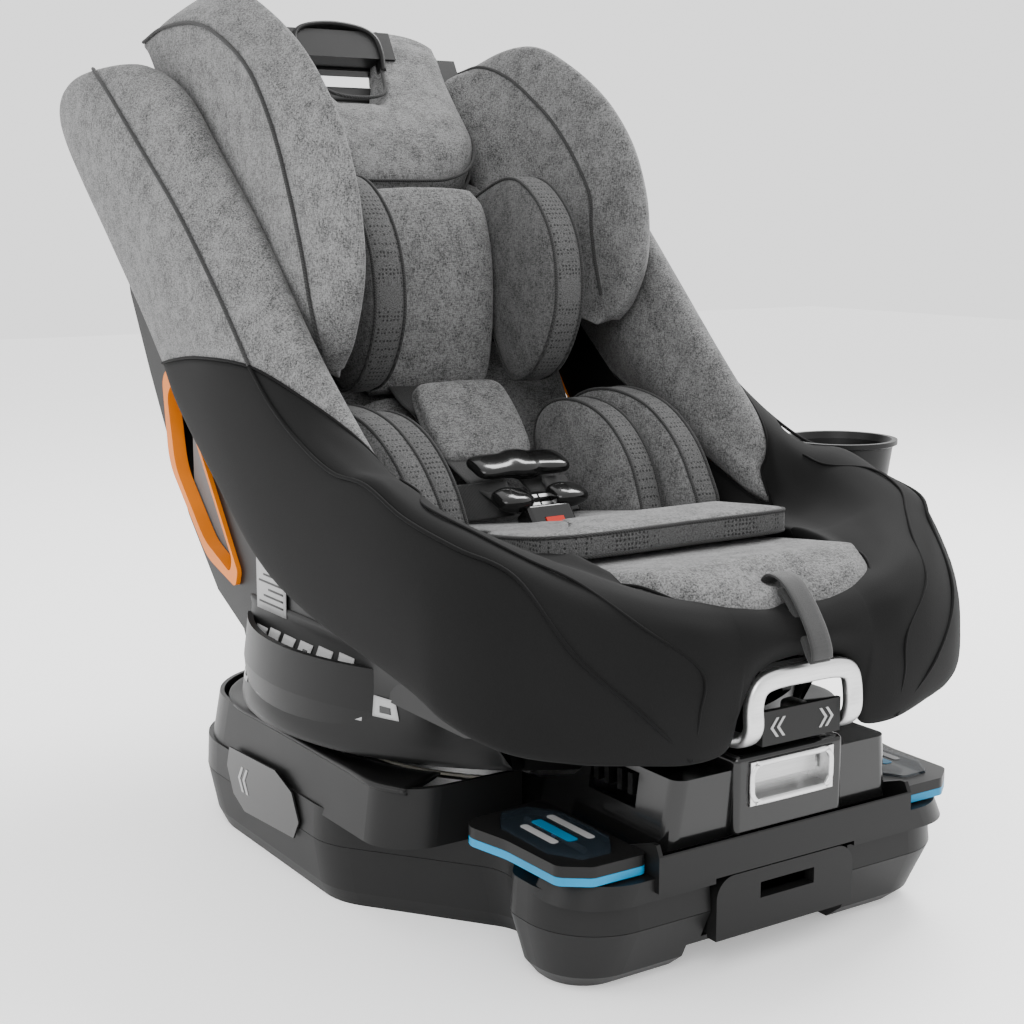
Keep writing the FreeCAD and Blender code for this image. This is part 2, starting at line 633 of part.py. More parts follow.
def belt_path_parts():
    """The belt path on each side: a coloured frame around the window, and a liner behind it."""
    frames, liners = [], []
    for _, sign in SIDES:
        flange = window_prism(*between(sign, 210.3, 214.5), 12).cut(window_prism(*between(sign, 200, 230), -3))
        tube = window_prism(*between(sign, 202, 212), -0.5).cut(window_prism(*between(sign, 200, 230), -3))
        frames.append(flange.fuse(tube).removeSplitter())
        liner = window_prism(*between(sign, 198, 200.5), 6)
        in_front = side_prism(local([(200, -150), (200, 600), (-51.8, 600), (-51.8, -150)]), -300, 300)
        liners.append(liner.common(box(-300, 300, 0, 249, 0, 500)).cut(in_front))
    feature("belt_path_frames", Part.makeCompound(frames))
    feature("belt_path_liners", Part.makeCompound(liners))


def turn_parts():
    """The pull handle of the turntable, the plate behind it, and its bracket."""
    half, bar = dim("handle_half_width"), dim("handle_bar")
    front, low, high = -361, 168, 226
    outer = Part.Face(rounded_wire([(half, high, 18), (half, low, 3), (-half, low, 3), (-half, high, 18)], 0))
    inner = Part.Face(rounded_wire([(half - bar, high - 17, 8), (half - bar, low - 9, 3), (-half + bar, low - 9, 3),
                                    (-half + bar, high - 17, 8)], 0))
    loop = outer.extrude(V(0, 0, 9)).cut(inner.extrude(V(0, 0, 9)))
    loop.Placement = FreeCAD.Placement(V(0, front + 9, 0), FreeCAD.Rotation(V(1, 0, 0), 90))
    arms = [box(*between(sign, half - 13, half - 3), front + 8, -268, 176, 184) for _, sign in SIDES]
    feature("turn_handle", loop.fuse(arms).removeSplitter())
    plate = box(-half + bar + 2, half - bar - 2, front + 5, front + 9, 170, 195)
    shelf = box(-half + bar + 2, half - bar - 2, front + 9, -299, 170, 174)
    feature("turn_plate", plate.fuse(shelf).removeSplitter())


def cup_socket():
    """The socket on the shell's left wall that the cup holder's tongue drops into."""
    x0, y0, top = dim("cup_x") - dim("cup_radius"), dim("cup_y"), dim("cup_top")
    socket = box(x0 - 13, x0 + 1, y0 - 20, y0 + 20, top - 66, top - 34)
    return socket.cut(box(x0 - 5.6, x0 - 1.4, y0 - 16.5, y0 + 16.5, top - 63, top))


def cup_holder():
    """Round cup holder with the tongue that hangs it on the shell."""
    body = DOC.addObject("PartDesign::Body", "cup_holder_bowl")
    sketch = sketch_on(body, "XZ_Plane", "cup_profile")
    r, h = dim("cup_radius"), dim("cup_height")
    sketch.addGeometry(closed_outline([(0, 0), (r - 13, 0), (r - 4, h - 6), (r, h - 4), (r, h), (r - 5, h), (r - 8, h - 6),
                                       (r - 16, 3), (0, 3)]), False)
    turned = body.newObject("PartDesign::Revolution", "cup_turned")
    turned.Profile = sketch
    turned.ReferenceAxis = (sketch, ["V_Axis"])
    turned.Angle = 360
    DOC.recompute()
    cup = body.Shape.copy()
    DOC.removeObject(body.Name)
    cup.translate(V(dim("cup_x"), dim("cup_y"), dim("cup_top") - h))
    x0, y0, top = dim("cup_x") - r, dim("cup_y"), dim("cup_top")
    neck = box(x0 - 2, x0 + 10, y0 - 16, y0 + 16, top - 30, top - 8).cut(
        Part.makeCylinder(r - 7, 60, V(dim("cup_x"), y0, top - 50)))
    tongue = box(x0 - 5, x0 - 2, y0 - 16, y0 + 16, top - 62, top - 8)
    return feature("cup_holder", cup.fuse([neck, tongue]).removeSplitter())


# ---------------------------------------------------------------- soft parts of the seat

def plan_block(front, half, corner, z0, z1, rear=130):
    """A plan slab: straight sides, a front with rounded corners."""
    wire = rounded_wire([(half, rear, 3), (half, front, corner), (-half, front, corner), (-half, rear, 3)], z0)
    return Part.Face(wire).extrude(V(0, 0, z1 - z0))


SEAT_TOP = [(96, 236), (-120, 262), (-250, 282), (-310, 284), (-345, 268), (-361, 240)]


def seat_cushion():
    """Seat cushion with its front apron, which wraps the shell's front and arches over the turn handle."""
    profile = [(96, 212)] + SEAT_TOP + [(-363, 215), (-358, 167), (-346, 167), (-346, 208), (-318, 212)]
    cushion = side_prism(profile, -174, 174).common(plan_block(-363, 174, 90, 160, 300))
    arch = Part.Face(rounded_wire([(60, 232, 24), (60, 150, 3), (-60, 150, 3), (-60, 232, 24)], 0)).extrude(V(0, 0, 100))
    arch.Placement = FreeCAD.Placement(V(0, -300, 0), FreeCAD.Rotation(V(1, 0, 0), 90))
    cushion = cushion.cut(arch).cut(box(-27, 27, -104, -30, 238, 330))
    cushion = cushion.cut(box(-11, 11, -336, -306, 225, 300))
    cushion = cushion.cut(box(-24, 24, -76, -60, 200, 300))
    return feature("seat_cushion", cushion)


def impact_foam():
    """Energy-absorbing foam between the shell and the cover: seat block and two back strips."""
    seat = box(-172, 172, -290, 84, 202.4, 211.6).cut(box(-24, 24, -80, -56, 200, 300))
    seat = seat.cut(box(-30, 30, -340, -255, 200, 300))
    strips = [side_prism(local([(-21, 4), (-21, 430), (-44.5, 430), (-44.5, 4)]), *between(sign, 96, 172)) for _, sign in SIDES]
    foot = side_prism(local([(-21, 4), (-21, 150), (-44.5, 150), (-44.5, 4)]), -95.5, 95.5)
    return feature("impact_foam", Part.makeCompound([seat, foot] + strips))


def back_pad():
    """Padded back of the cover, open behind the headrest's carrier."""
    pad = side_prism(local([(0, 6), (0, 424), (-20.4, 424), (-20.4, 6)]), -174, 174)
    slot = side_prism(local([(10, 157), (10, 440), (-30, 440), (-30, 157)]), -95, 95)
    return feature("back_pad", pad.cut(slot))


SPLIT = [(330, 395), (272, 412), (45, 414), (-60, 374), (-110, 340), (-140, 420), (0, 720), (520, 720), (520, 395)]


def cup_clearance():
    """The pocket in the left cover that leaves the cup holder, its socket and its way up free."""
    x, y, top = dim("cup_x"), dim("cup_y"), dim("cup_top")
    r = dim("cup_radius")
    socket = box(x - r - 10, 260, y - 22, y + 22, top - 68, 400)
    bowl = Part.makeCone(r - 4, r + 4, 90, V(x, y, top - 80))
    return socket.fuse([bowl, Part.makeCylinder(r + 3, 100, V(x, y, top - 14))])


def side_covers():
    """Cover over each side wall: the black bolster in front and below, the grey shoulder above the join."""
    shoulders = []
    saddle = [(-303, 160)] + [(y, z + 3) for y, z in SHELL_CREST[1:]] + [(402, 560), (384, 480), (330, 380), (170, 100)]
    for side, sign in SIDES:
        whole = side_prism(CREST + COVER_HEM, *between(sign, 180.5, 237))
        whole = whole.cut(side_prism(saddle, *between(sign, 195, 216)))
        whole = whole.cut(box(-204.5, 204.5, -304, 400, 100, 203))
        whole = whole.cut(side_prism(local([(-44.6, -90), (-44.6, 470), (-400, 470), (-400, -90)]), -204.5, 204.5))
        whole = whole.common(plan_block(-363, 237, 105, 100, 700, rear=460))
        if sign > 0:
            whole = whole.cut(cup_clearance())
        shoulders.append(whole.common(side_prism(SPLIT, -300, 300)))
        bolster = whole.cut(side_prism([(y - 0.3, z - 0.4) for y, z in SPLIT], -300, 300))
        solid = max(bolster.Solids, key=lambda piece: piece.Volume)
        feature("bolster_" + side, solid)
    feature("shoulder_covers", Part.makeCompound(shoulders))


def insert_parts():
    """Infant insert: two padded lobes on each side, a wedge under the child and a back pad."""
    inner_pads, outer_pads = [], []
    for _, sign in SIDES:
        inner = [(108, 366), (58, 369), (10, 362), (-30, 338), (-58, 300), (-60, 268), (60, 262), (124, 300)]
        outer = [(112, 372), (50, 376), (4, 368), (-42, 344), (-72, 306), (-84, 276), (60, 262), (124, 300)]
        inner_pads.append(rounded(side_prism(inner, *between(sign, 88, 118)), 9))
        outer_pads.append(rounded(side_prism(outer, *between(sign, 124, 156)), 9))
    feature("hip_pads", Part.makeCompound(inner_pads + outer_pads))
    wedge = side_prism([(-222, 283), (-222, 299), (-120, 288), (84, 254), (84, 242), (-100, 264)], -118, 118)
    wedge = wedge.common(plan_block(-222, 118, 40, 200, 330)).cut(box(-30, 30, -108, -26, 200, 330))
    for _, sign in SIDES:
        wedge = wedge.cut(box(*between(sign, 86, 130), -66, 130, 200, 330))
    feature("insert_wedge", wedge)
    feature("insert_back_pad", rounded(side_prism(local([(2, 34), (30, 34), (30, 138), (2, 138)]), -84, 84), 8))


# ---------------------------------------------------------------- headrest

WING = [(-6, 538), (60, 536), (134, 484), (207, 428), (250, 356), (270, 288), (263, 221), (240, 180), (191, 128), (154, 116),
        (134, 162), (82, 264), (64, 394), (51, 434), (4, 480)]


def headrest_parts():
    """Headrest: a shell on a carrier that runs on two rods, wings, a centre pad, a head pillow and a grip."""
    plate = side_prism(local([(3, 200), (14, 200), (14, 516), (3, 516)]), -146, 146)
    hood = side_prism(local([(14, 500), (34, 500), (34, 531), (3, 531), (3, 516), (14, 516)]), -62, 62)
    carrier = side_prism(local([(3, 230), (3, 400), (-40, 400), (-40, 230)]), -88, 88)
    mouth = side_prism(local([(-10, 462), (40, 462), (40, 498), (-10, 498)]), -46, 46)
    arms = [side_prism(local([(3, 300), (3, 420), (14, 420), (14, 300)]), *between(sign, 140, 149)) for _, sign in SIDES]
    shell = plate.fuse([hood, carrier] + arms).cut(mouth)
    for _, sign in SIDES:
        axis = BACK_FRAME.multVec(V(sign * 62, 26, 100))
        shell = shell.cut(Part.makeCylinder(6.4, 420, axis, BACK.multVec(V(0, 0, 1))))
    slot = side_prism(local([(-12, 220), (-12, 430), (-60, 430), (-60, 220)]), -14, 14)
    feature("headrest_shell", shell.cut(slot).removeSplitter())
    rods = []
    for n, (_, sign) in enumerate(SIDES):
        foot = BACK_FRAME.multVec(V(sign * 62, 26, 162))
        rods.append(primitive("Cylinder", "rod_%d" % n, at=foot, rotation=BACK, Radius="6", Height="276"))
    keep(joined("rods", rods), "headrest_rods")
    rack = side_prism(local([(-30, 170), (-30, 428), (-44.4, 428), (-44.4, 170)]), -12, 12)
    for step in range(10):
        low = 232 + 18 * step
        rack = rack.cut(side_prism(local([(-20, low), (-20, low + 9), (-36, low + 9), (-36, low)]), -13, 13))
    feature("height_rack", rack)
    bar = side_prism(local([(-16, 382), (-16, 390), (-29.5, 390), (-29.5, 382)]), -11, 11)
    feature("headrest_lock_bar", bar)
    grip = side_prism(local([(4, 464), (14, 464), (14, 480), (4, 480)]), -44, 44)
    feature("headrest_grip", rounded(grip, 3))
    wings = []
    for _, sign in SIDES:
        wing = side_prism(local(WING), *between(sign, 149.4, 178.5))
        wings.append(rounded(wing, 10))
    feature("headrest_wings", Part.makeCompound(wings))
    pad = side_prism(local([(14.4, 458), (44, 440), (78, 382), (88, 346), (80, 322), (58, 318), (40, 250), (14.4, 206)]), -118, 118)
    feature("headrest_pad", rounded(pad, 6))
    centre = side_prism(local([(96, 318), (110, 303), (97, 250), (64, 190), (32, 148), (14, 150), (20, 196), (41, 246),
                               (60, 312)]), -68, 68)
    lobes = [rounded(centre, 5)]
    for _, sign in SIDES:
        lobe = side_prism(local([(100, 318), (150, 300), (172, 250), (168, 200), (130, 150), (70, 130), (42, 150), (46, 240),
                                 (66, 312)]), *between(sign, 74, 112))
        lobes.append(rounded(lobe, 10))
    feature("head_pillow", Part.makeCompound(lobes))


# ---------------------------------------------------------------- harness

STRAP_LINE = [(150, 372), (112, 352), (62, 322), (-12, 296)]


def harness_parts():
    """Webbing, chest pad, chest clip, buckle, crotch strap and the adjuster at the front."""
    width, thick = dim("strap_width"), dim("strap_thickness")
    straps = [side_prism(band(STRAP_LINE, thick), *between(sign, 8, 8 + width)) for _, sign in SIDES]
    hips = [side_prism(band([(-38, 276), (0, 268), (70, 258)], thick), *between(sign, 30, 30 + width)) for _, sign in SIDES]
    crotch = side_prism([(-69, 203), (-69, 236), (-66.6, 236), (-66.6, 203)], -19, 19)
    feature("harness_webbing", Part.makeCompound(straps + hips + [crotch]))
    pad = side_prism(band([(108, 356), (60, 327)], -14), -49, 49)
    feature("chest_pad", rounded(pad, 5))
    halves = []
    for _, sign in SIDES:
        half = side_prism(band([(24, 321), (-4, 311)], -20), *between(sign, 0.3, 49))
        slot = side_prism(band([(80, 334.5), (-40, 292.5)], thick + 3.4), *between(sign, 6.5, 47.5))
        halves.append(half.cut(slot))
    feature("chest_clip", Part.makeCompound(halves))
    tilt = FreeCAD.Placement(V(0, -46, 268), FreeCAD.Rotation(V(1, 0, 0), -40))
    case = rounded(box(-23, 23, -11, 11, -24, 26), 4).cut(box(-9.6, 9.6, -12, -3.2, -8, 12)).cut(box(-20, 20, -3, 3, 8, 30))
    feature("buckle", case, tilt)
    feature("buckle_button", box(-9, 9, -12, -7, -7.4, 11.4), tilt)
    tongues = [box(*between(sign, 1, 19), -1.6, 1.6, 9, 40) for _, sign in SIDES]
    feature("buckle_tongues", Part.makeCompound([t.cut(box(-16, 16, -3, 3, 32, 37)) for t in tongues]), tilt)
    frame = box(-21, 21, -334, -308, 203, 222)
    feature("harness_adjuster", frame.cut(box(-18, 18, -331, -311, 206, 223)))
    lever = box(-17, 17, -329, -313, 209, 213)
    feature("adjuster_lever", lever.fuse(Part.makeCylinder(2, 34, V(-17, -313, 211), V(1, 0, 0))).removeSplitter())
    tail = band([(-321, 226), (-322, 292), (-345, 290), (-372, 262), (-378, 236)], thick)
    feature("adjuster_strap", side_prism(tail, -9.5, 9.5))


for build in (base_lower_tray, base_upper_housing, storage_drawer, recline_rails, belt_guides,
              level_indicators, rubber_pads, base_screws, cradle_tray, cradle_runners, turntable, swivel_lock, cradle_block,
              recline_bezel, recline_paddle, recline_pawl, anchor_connectors, seat_base_plate, seat_shell, shell_rear_cover,
              belt_path_parts, turn_parts, cup_holder, seat_cushion, impact_foam, back_pad, side_covers, insert_parts,
              headrest_parts, harness_parts):
    build()


def write_parts():
    """Recomputes, checks every object, and writes one STEP file for each sub-part."""
    DOC.recompute()
    bad = [o.Label for o in DOC.Objects if set(o.State) & {"Invalid", "Error"}]
    for part in PARTS:
        shape = part.Shape
        if shape.isNull() or not shape.isValid() or shape.Volume <= 0:
            bad.append(part.Label)
    if bad:
        raise SystemExit("failed objects: %s" % bad)
    os.makedirs("parts", exist_ok=True)
    for name in os.listdir("parts"):
        os.remove(os.path.join("parts", name))
    for part in PARTS:
        part.Shape.exportStep(os.path.join("parts", part.Label + ".step"))
        print("%-26s solids %2d  volume %9.0f" % (part.Label, len(part.Shape.Solids), part.Shape.Volume))


write_parts()
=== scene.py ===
"""Looks of the rotating convertible car seat: soft covers, pads, headrest, harness and every material.

Lengths in this script are millimetres, turned into metres when a mesh is made. The seat faces -Y.
"""
import bpy
import bmesh
import math
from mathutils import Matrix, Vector


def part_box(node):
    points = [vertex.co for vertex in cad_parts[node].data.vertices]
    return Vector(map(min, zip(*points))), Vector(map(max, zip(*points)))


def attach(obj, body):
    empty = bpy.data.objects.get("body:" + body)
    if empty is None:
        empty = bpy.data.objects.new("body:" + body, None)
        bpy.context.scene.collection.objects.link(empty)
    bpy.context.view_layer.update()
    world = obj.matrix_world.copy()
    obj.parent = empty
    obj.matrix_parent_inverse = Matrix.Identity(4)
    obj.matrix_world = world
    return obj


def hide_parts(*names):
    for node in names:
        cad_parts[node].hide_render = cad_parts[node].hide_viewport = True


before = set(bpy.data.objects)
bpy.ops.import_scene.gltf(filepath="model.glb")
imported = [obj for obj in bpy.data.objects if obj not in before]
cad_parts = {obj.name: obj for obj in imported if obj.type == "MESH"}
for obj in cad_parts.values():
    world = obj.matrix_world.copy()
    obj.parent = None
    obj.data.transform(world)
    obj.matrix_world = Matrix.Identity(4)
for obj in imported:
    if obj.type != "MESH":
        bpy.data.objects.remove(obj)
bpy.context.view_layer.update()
MM = 0.001
BACK_ANGLE = math.radians(29)
BITE = Vector((0, 112, 235))
SIDES = ((1, "left"), (-1, "right"))
DRUM_RADIUS = 245.6        # just outside the shell's turning drum
WALL_HALF = 211.6          # just outside the shell's flat side
COLLAR_INSIDE = 207        # inner edge of the plates between the base's rim and the drum
PAD_HALF = 122             # half width of the headrest's upper pad
PAD_BACK = 14.6            # the pads' back face, out of the back's plane


def clamp(value):
    return max(0.0, min(1.0, value))


def ease(value):
    """A smooth step from 0 to 1."""
    t = clamp(value)
    return t * t * (3 - 2 * t)


def mirrored(half, middle):
    """A symmetric run of points: one half, the middle point, and the half reflected in x."""
    return half + [middle] + [(-p[0], *p[1:]) for p in half[::-1]]


# ---------------------------------------------------------------- node materials

class Nodes:
    """Small helper that builds a node tree from calls."""

    def __init__(self, name):
        self.material = bpy.data.materials.new(name)
        self.material.use_nodes = True
        self.tree = self.material.node_tree
        self.shader = self.tree.nodes["Principled BSDF"]
        self.place = self.add("ShaderNodeTexCoord").outputs["Object"]

    def add(self, kind, **settings):
        node = self.tree.nodes.new(kind)
        for key, value in settings.items():
            setattr(node, key, value)
        return node

    def link(self, source, target):
        self.tree.links.new(source, target)

    def noise(self, scale, detail=2.0, roughness=0.5, vector=None):
        node = self.add("ShaderNodeTexNoise")
        node.inputs["Scale"].default_value = scale
        node.inputs["Detail"].default_value = detail
        node.inputs["Roughness"].default_value = roughness
        self.link(vector or self.place, node.inputs["Vector"])
        return node.outputs["Fac"]

    def stretched(self, scale, turn=(0, 0, 0)):
        node = self.add("ShaderNodeMapping")
        node.inputs["Scale"].default_value = scale
        node.inputs["Rotation"].default_value = turn
        self.link(self.place, node.inputs["Vector"])
        return node.outputs["Vector"]

    def math(self, operation, a, b=None, c=None):
        node = self.add("ShaderNodeMath", operation=operation)
        for n, value in enumerate((a, b, c)):
            if value is None:
                continue
            if isinstance(value, (int, float)):
                node.inputs[n].default_value = value
            else:
                self.link(value, node.inputs[n])
        return node.outputs[0]

    def ramp(self, value, stops):
        node = self.add("ShaderNodeValToRGB")
        ends = node.color_ramp.elements
        while len(ends) < len(stops):
            ends.new(0.5)
        for end, (at, colour) in zip(ends, stops):
            end.position = at
            end.color = (*colour, 1)
        self.link(value, node.inputs["Fac"])
        return node.outputs["Color"]

    def bump(self, height, strength, distance, after=None):
        node = self.add("ShaderNodeBump")
        node.inputs["Strength"].default_value = strength
        node.inputs["Distance"].default_value = distance
        self.link(height, node.inputs["Height"])
        if after is not None:
            self.link(after, node.inputs["Normal"])
        self.link(node.outputs["Normal"], self.shader.inputs["Normal"])
        return node.outputs["Normal"]

    def base(self, colour, **values):
        if isinstance(colour, tuple):
            self.shader.inputs["Base Color"].default_value = (*colour, 1)
        else:
            self.link(colour, self.shader.inputs["Base Color"])
        for key, value in values.items():
            self.shader.inputs[key.replace("_", " ")].default_value = value
        return self.material


def grey(level, tint=0.0):
    """A neutral grey, slightly warm or cool."""
    return (level + tint, level, level - tint)


def heather(name, low, high, weave=900.0):
    """Heather fabric: mottled yarns of lighter and darker grey in a fine weave."""
    n = Nodes(name)
    across = n.noise(1.0, 3, 0.7, n.stretched((240, 900, 900)))
    along = n.noise(1.0, 3, 0.7, n.stretched((900, 240, 900), (0, 0.4, 0)))
    up = n.noise(1.0, 3, 0.7, n.stretched((900, 900, 240), (0.5, 0, 0)))
    yarn = n.math("MULTIPLY", n.math("ADD", n.math("ADD", across, along), up), 1 / 3)
    cloud = n.noise(60, 3, 0.6)
    value = n.math("ADD", n.math("MULTIPLY", yarn, 0.85), n.math("MULTIPLY", cloud, 0.15))
    middle = tuple((a + b) / 2 for a, b in zip(low, high))
    colour = n.ramp(value, [(0.42, low), (0.49, middle), (0.56, high)])
    weft = n.noise(weave, 2, 0.5)
    n.bump(n.math("ADD", n.math("MULTIPLY", yarn, 0.6), n.math("MULTIPLY", weft, 0.4)), 0.55, 0.0007)
    return n.base(colour, Roughness=0.93, Sheen_Weight=0.1, Sheen_Roughness=0.5, Specular_IOR_Level=0.15)


def twill(name, low, high):
    """Woven cord for piping: fine diagonal ribs."""
    n = Nodes(name)
    ribs = n.add("ShaderNodeTexWave", wave_type="BANDS", bands_direction="DIAGONAL")
    ribs.inputs["Scale"].default_value = 260
    ribs.inputs["Distortion"].default_value = 1.5
    ribs.inputs["Detail"].default_value = 2
    n.link(n.place, ribs.inputs["Vector"])
    fleck = n.noise(900, 3, 0.7)
    value = n.math("ADD", n.math("MULTIPLY", ribs.outputs["Fac"], 0.3), n.math("MULTIPLY", fleck, 0.7))
    colour = n.ramp(value, [(0.3, low), (0.72, high)])
    n.bump(ribs.outputs["Fac"], 0.4, 0.0006)
    return n.base(colour, Roughness=0.92, Sheen_Weight=0.08, Specular_IOR_Level=0.15)


def knit(name, level=0.0035):
    """Smooth black stretch knit."""
    n = Nodes(name)
    loops = n.noise(1.0, 2, 0.5, n.stretched((1300, 1300, 700)))
    cloud = n.noise(9, 3, 0.5)
    value = n.math("ADD", n.math("MULTIPLY", loops, 0.5), n.math("MULTIPLY", cloud, 0.5))
    colour = n.ramp(value, [(0.3, grey(level * 0.75)), (0.7, grey(level * 1.35))])
    n.bump(loops, 0.35, 0.0004)
    return n.base(colour, Roughness=0.8, Sheen_Weight=0.015, Sheen_Roughness=0.4, Specular_IOR_Level=0.14)


def perforated(name, low, high, pitch=3.6):
    """Spacer mesh with staggered round holes."""
    n = Nodes(name)
    cells = n.add("ShaderNodeTexVoronoi", feature="F1", distance="EUCLIDEAN")
    cells.inputs["Scale"].default_value = 1000 / pitch
    cells.inputs["Randomness"].default_value = 0.25
    n.link(n.place, cells.inputs["Vector"])
    hole = n.math("LESS_THAN", cells.outputs["Distance"], 0.3)
    yarn = n.noise(1100, 3, 0.6)
    cloth = n.ramp(yarn, [(0.35, low), (0.65, high)])
    mix = n.add("ShaderNodeMix", data_type="RGBA")
    n.link(hole, mix.inputs["Factor"])
    n.link(cloth, mix.inputs["A"])
    mix.inputs["B"].default_value = (*grey(0.02), 1)
    rim = n.math("SMOOTH_MIN", cells.outputs["Distance"], 0.42, 0.1)
    n.bump(rim, 0.8, 0.0008)
    return n.base(mix.outputs["Result"], Roughness=0.95, Sheen_Weight=0.06, Specular_IOR_Level=0.12)


def plastic(name, colour, roughness, grain=1400.0, depth=0.00016, coat=0.0):
    """Moulded plastic: spark-eroded grain, a little unevenness in gloss."""
    n = Nodes(name)
    fine = n.noise(grain, 2, 0.6)
    broad = n.noise(14, 3, 0.5)
    tone = n.ramp(broad, [(0.3, tuple(c * 0.88 for c in colour)), (0.7, tuple(c * 1.12 for c in colour))])
    rough = n.add("ShaderNodeMapRange")
    n.link(broad, rough.inputs["Value"])
    rough.inputs["To Min"].default_value = max(0.04, roughness - 0.06)
    rough.inputs["To Max"].default_value = roughness + 0.06
    n.link(rough.outputs["Result"], n.shader.inputs["Roughness"])
    n.bump(fine, 0.3, depth)
    return n.base(tone, Coat_Weight=coat, Coat_Roughness=0.1, Specular_IOR_Level=0.2)


def metal(name, colour, roughness, brush=(30, 900, 900)):
    """Brushed or satin metal with fine streaks."""
    n = Nodes(name)
    streaks = n.noise(1.0, 3, 0.6, n.stretched(brush))
    tone = n.ramp(streaks,
                  [(0.3, tuple(c * 0.9 for c in colour)), (0.7, tuple(min(1, c * 1.06) for c in colour))])
    n.bump(streaks, 0.12, 0.00015)
    return n.base(tone, Metallic=1.0, Roughness=roughness)


def webbing_material(name, level):
    """Woven webbing: fine ribs across the strap."""
    n = Nodes(name)
    ribs = n.add("ShaderNodeTexWave", wave_type="BANDS", bands_direction="X")
    ribs.inputs["Scale"].default_value = 330
    n.link(n.place, ribs.inputs["Vector"])
    picks = n.noise(1.0, 2, 0.6, n.stretched((300, 1400, 1400)))
    value = n.math("ADD", n.math("MULTIPLY", ribs.outputs["Fac"], 0.5), n.math("MULTIPLY", picks, 0.5))
    colour = n.ramp(value, [(0.2, grey(level * 0.6)), (0.8, grey(level * 1.8))])
    n.bump(value, 0.7, 0.0006)
    return n.base(colour, Roughness=0.7, Sheen_Weight=0.15)


def clear_plastic(name):
    n = Nodes(name)
    scratch = n.noise(300, 2, 0.6)
    n.bump(scratch, 0.03, 0.0001)
    return n.base((0.02, 0.03, 0.04), Roughness=0.05, IOR=1.49, Alpha=0.4)


def foam_material(name):
    n = Nodes(name)
    beads = n.add("ShaderNodeTexVoronoi", feature="F1")
    beads.inputs["Scale"].default_value = 260
    n.link(n.place, beads.inputs["Vector"])
    colour = n.ramp(beads.outputs["Distance"], [(0.0, grey(0.09)), (0.6, grey(0.03))])
    n.bump(beads.outputs["Distance"], 0.5, 0.001)
    return n.base(colour, Roughness=0.8)


MAT = {
    "heather": heather("heather_grey", grey(0.028), grey(0.17)),
    "heather_dark": heather("heather_grey_shade", grey(0.022), grey(0.12)),
    "mesh": perforated("spacer_mesh", grey(0.03), grey(0.1)),
    "knit": knit("black_knit"),
    "knit_seam": knit("black_seam", 0.0018),
    "piping": twill("piping_cord", grey(0.012), grey(0.045)),
    "webbing": webbing_material("webbing", 0.006),
    "black": plastic("black_plastic", grey(0.0055), 0.4),
    "dark": plastic("dark_plastic", grey(0.007), 0.5),
    "gloss": plastic("gloss_black", grey(0.004), 0.18, 500, 0.00004, 0.4),
    "grey_plastic": plastic("grey_plastic", grey(0.03), 0.32),
    "liner": plastic("liner_grey", grey(0.12), 0.5),
    "orange": plastic("orange_plastic", (0.58, 0.15, 0.003), 0.38, 900, 0.00008),
    "cyan": plastic("cyan_plastic", (0.0, 0.17, 0.33), 0.4, 900, 0.00008),
    "blue": plastic("blue_ball", (0.02, 0.16, 0.5), 0.2, 500, 0.00002),
    "red": plastic("red_plastic", (0.4, 0.02, 0.01), 0.3, 900, 0.00005),
    "nylon": plastic("natural_nylon", (0.62, 0.6, 0.52), 0.5),
    "rubber": plastic("rubber_pad", grey(0.02), 0.85, 500, 0.0004),
    "silver": metal("satin_silver", grey(0.66), 0.33, (40, 700, 700)),
    "steel": metal("zinc_steel", grey(0.5), 0.38),
    "lens": clear_plastic("clear_lens"),
    "print": plastic("pale_print", grey(0.33), 0.6, 700, 0.00002),
    "print_dark": plastic("dark_print", grey(0.05), 0.6, 700, 0.00002),
    "foam": foam_material("bead_foam"),
}

NODE_LOOK = {
    "black": ["base_upper_housing", "storage_drawer", "belt_guides", "cradle_tray", "turn_plate",
              "cup_holder",
              "shell_rear_cover", "headrest_shell", "seat_shell"],
    "dark": ["base_lower_tray", "recline_track", "cradle_runners", "harness_adjuster"],
    "gloss": ["cradle_block", "chest_clip", "buckle", "anchor_connector_left", "anchor_connector_right"],
    "cyan": ["belt_guide_trims"], "lens": ["level_windows"], "blue": ["level_ball_left", "level_ball_right"],
    "rubber": ["rubber_pads"], "nylon": ["bearing_cage"],
             "silver": ["turn_handle", "recline_bezel", "buckle_tongues"],
    "steel": ["base_screws", "lower_race_ring", "upper_race_ring", "bearing_balls", "turntable_spindle",
              "swivel_lock_ring",
              "swivel_lock_pin", "recline_lever", "seat_base_plate", "headrest_rods", "height_rack",
              "headrest_lock_bar"],
    "grey_plastic": ["headrest_grip", "adjuster_lever", "recline_pawl"], "orange": ["belt_path_frames"],
    "liner": ["belt_path_liners"], "foam": ["impact_foam"], "red": ["buckle_button"],
             "webbing": ["harness_webbing"],
}
for look, names in NODE_LOOK.items():
    for node_name in names:
        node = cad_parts[node_name]
        node.data.materials.clear()
        node.data.materials.append(MAT[look])


# ---------------------------------------------------------------- mesh helpers

def catmull(points, steps, closed):
    """A smooth line through points (Vectors), with the given number of steps on each span."""
    count = len(points)
    out = []
    for i in range(count if closed else count - 1):
        p1, p2 = points[i], points[(i + 1) % count]
        p0 = points[i - 1] if closed or i else p1 + (p1 - p2)
        p3 = points[(i + 2) % count] if closed or i + 2 < count else p2 + (p2 - p1)
        for k in range(steps):
            u = k / steps
            out.append(0.5 * ((2 * p1) + (p2 - p0) * u + (2 * p0 - 5 * p1 + 4 * p2 - p3) * u * u
                              + (3 * p1 - p0 - 3 * p2 + p3) * u ** 3))
    if not closed:
        out.append(points[-1].copy())
    return out


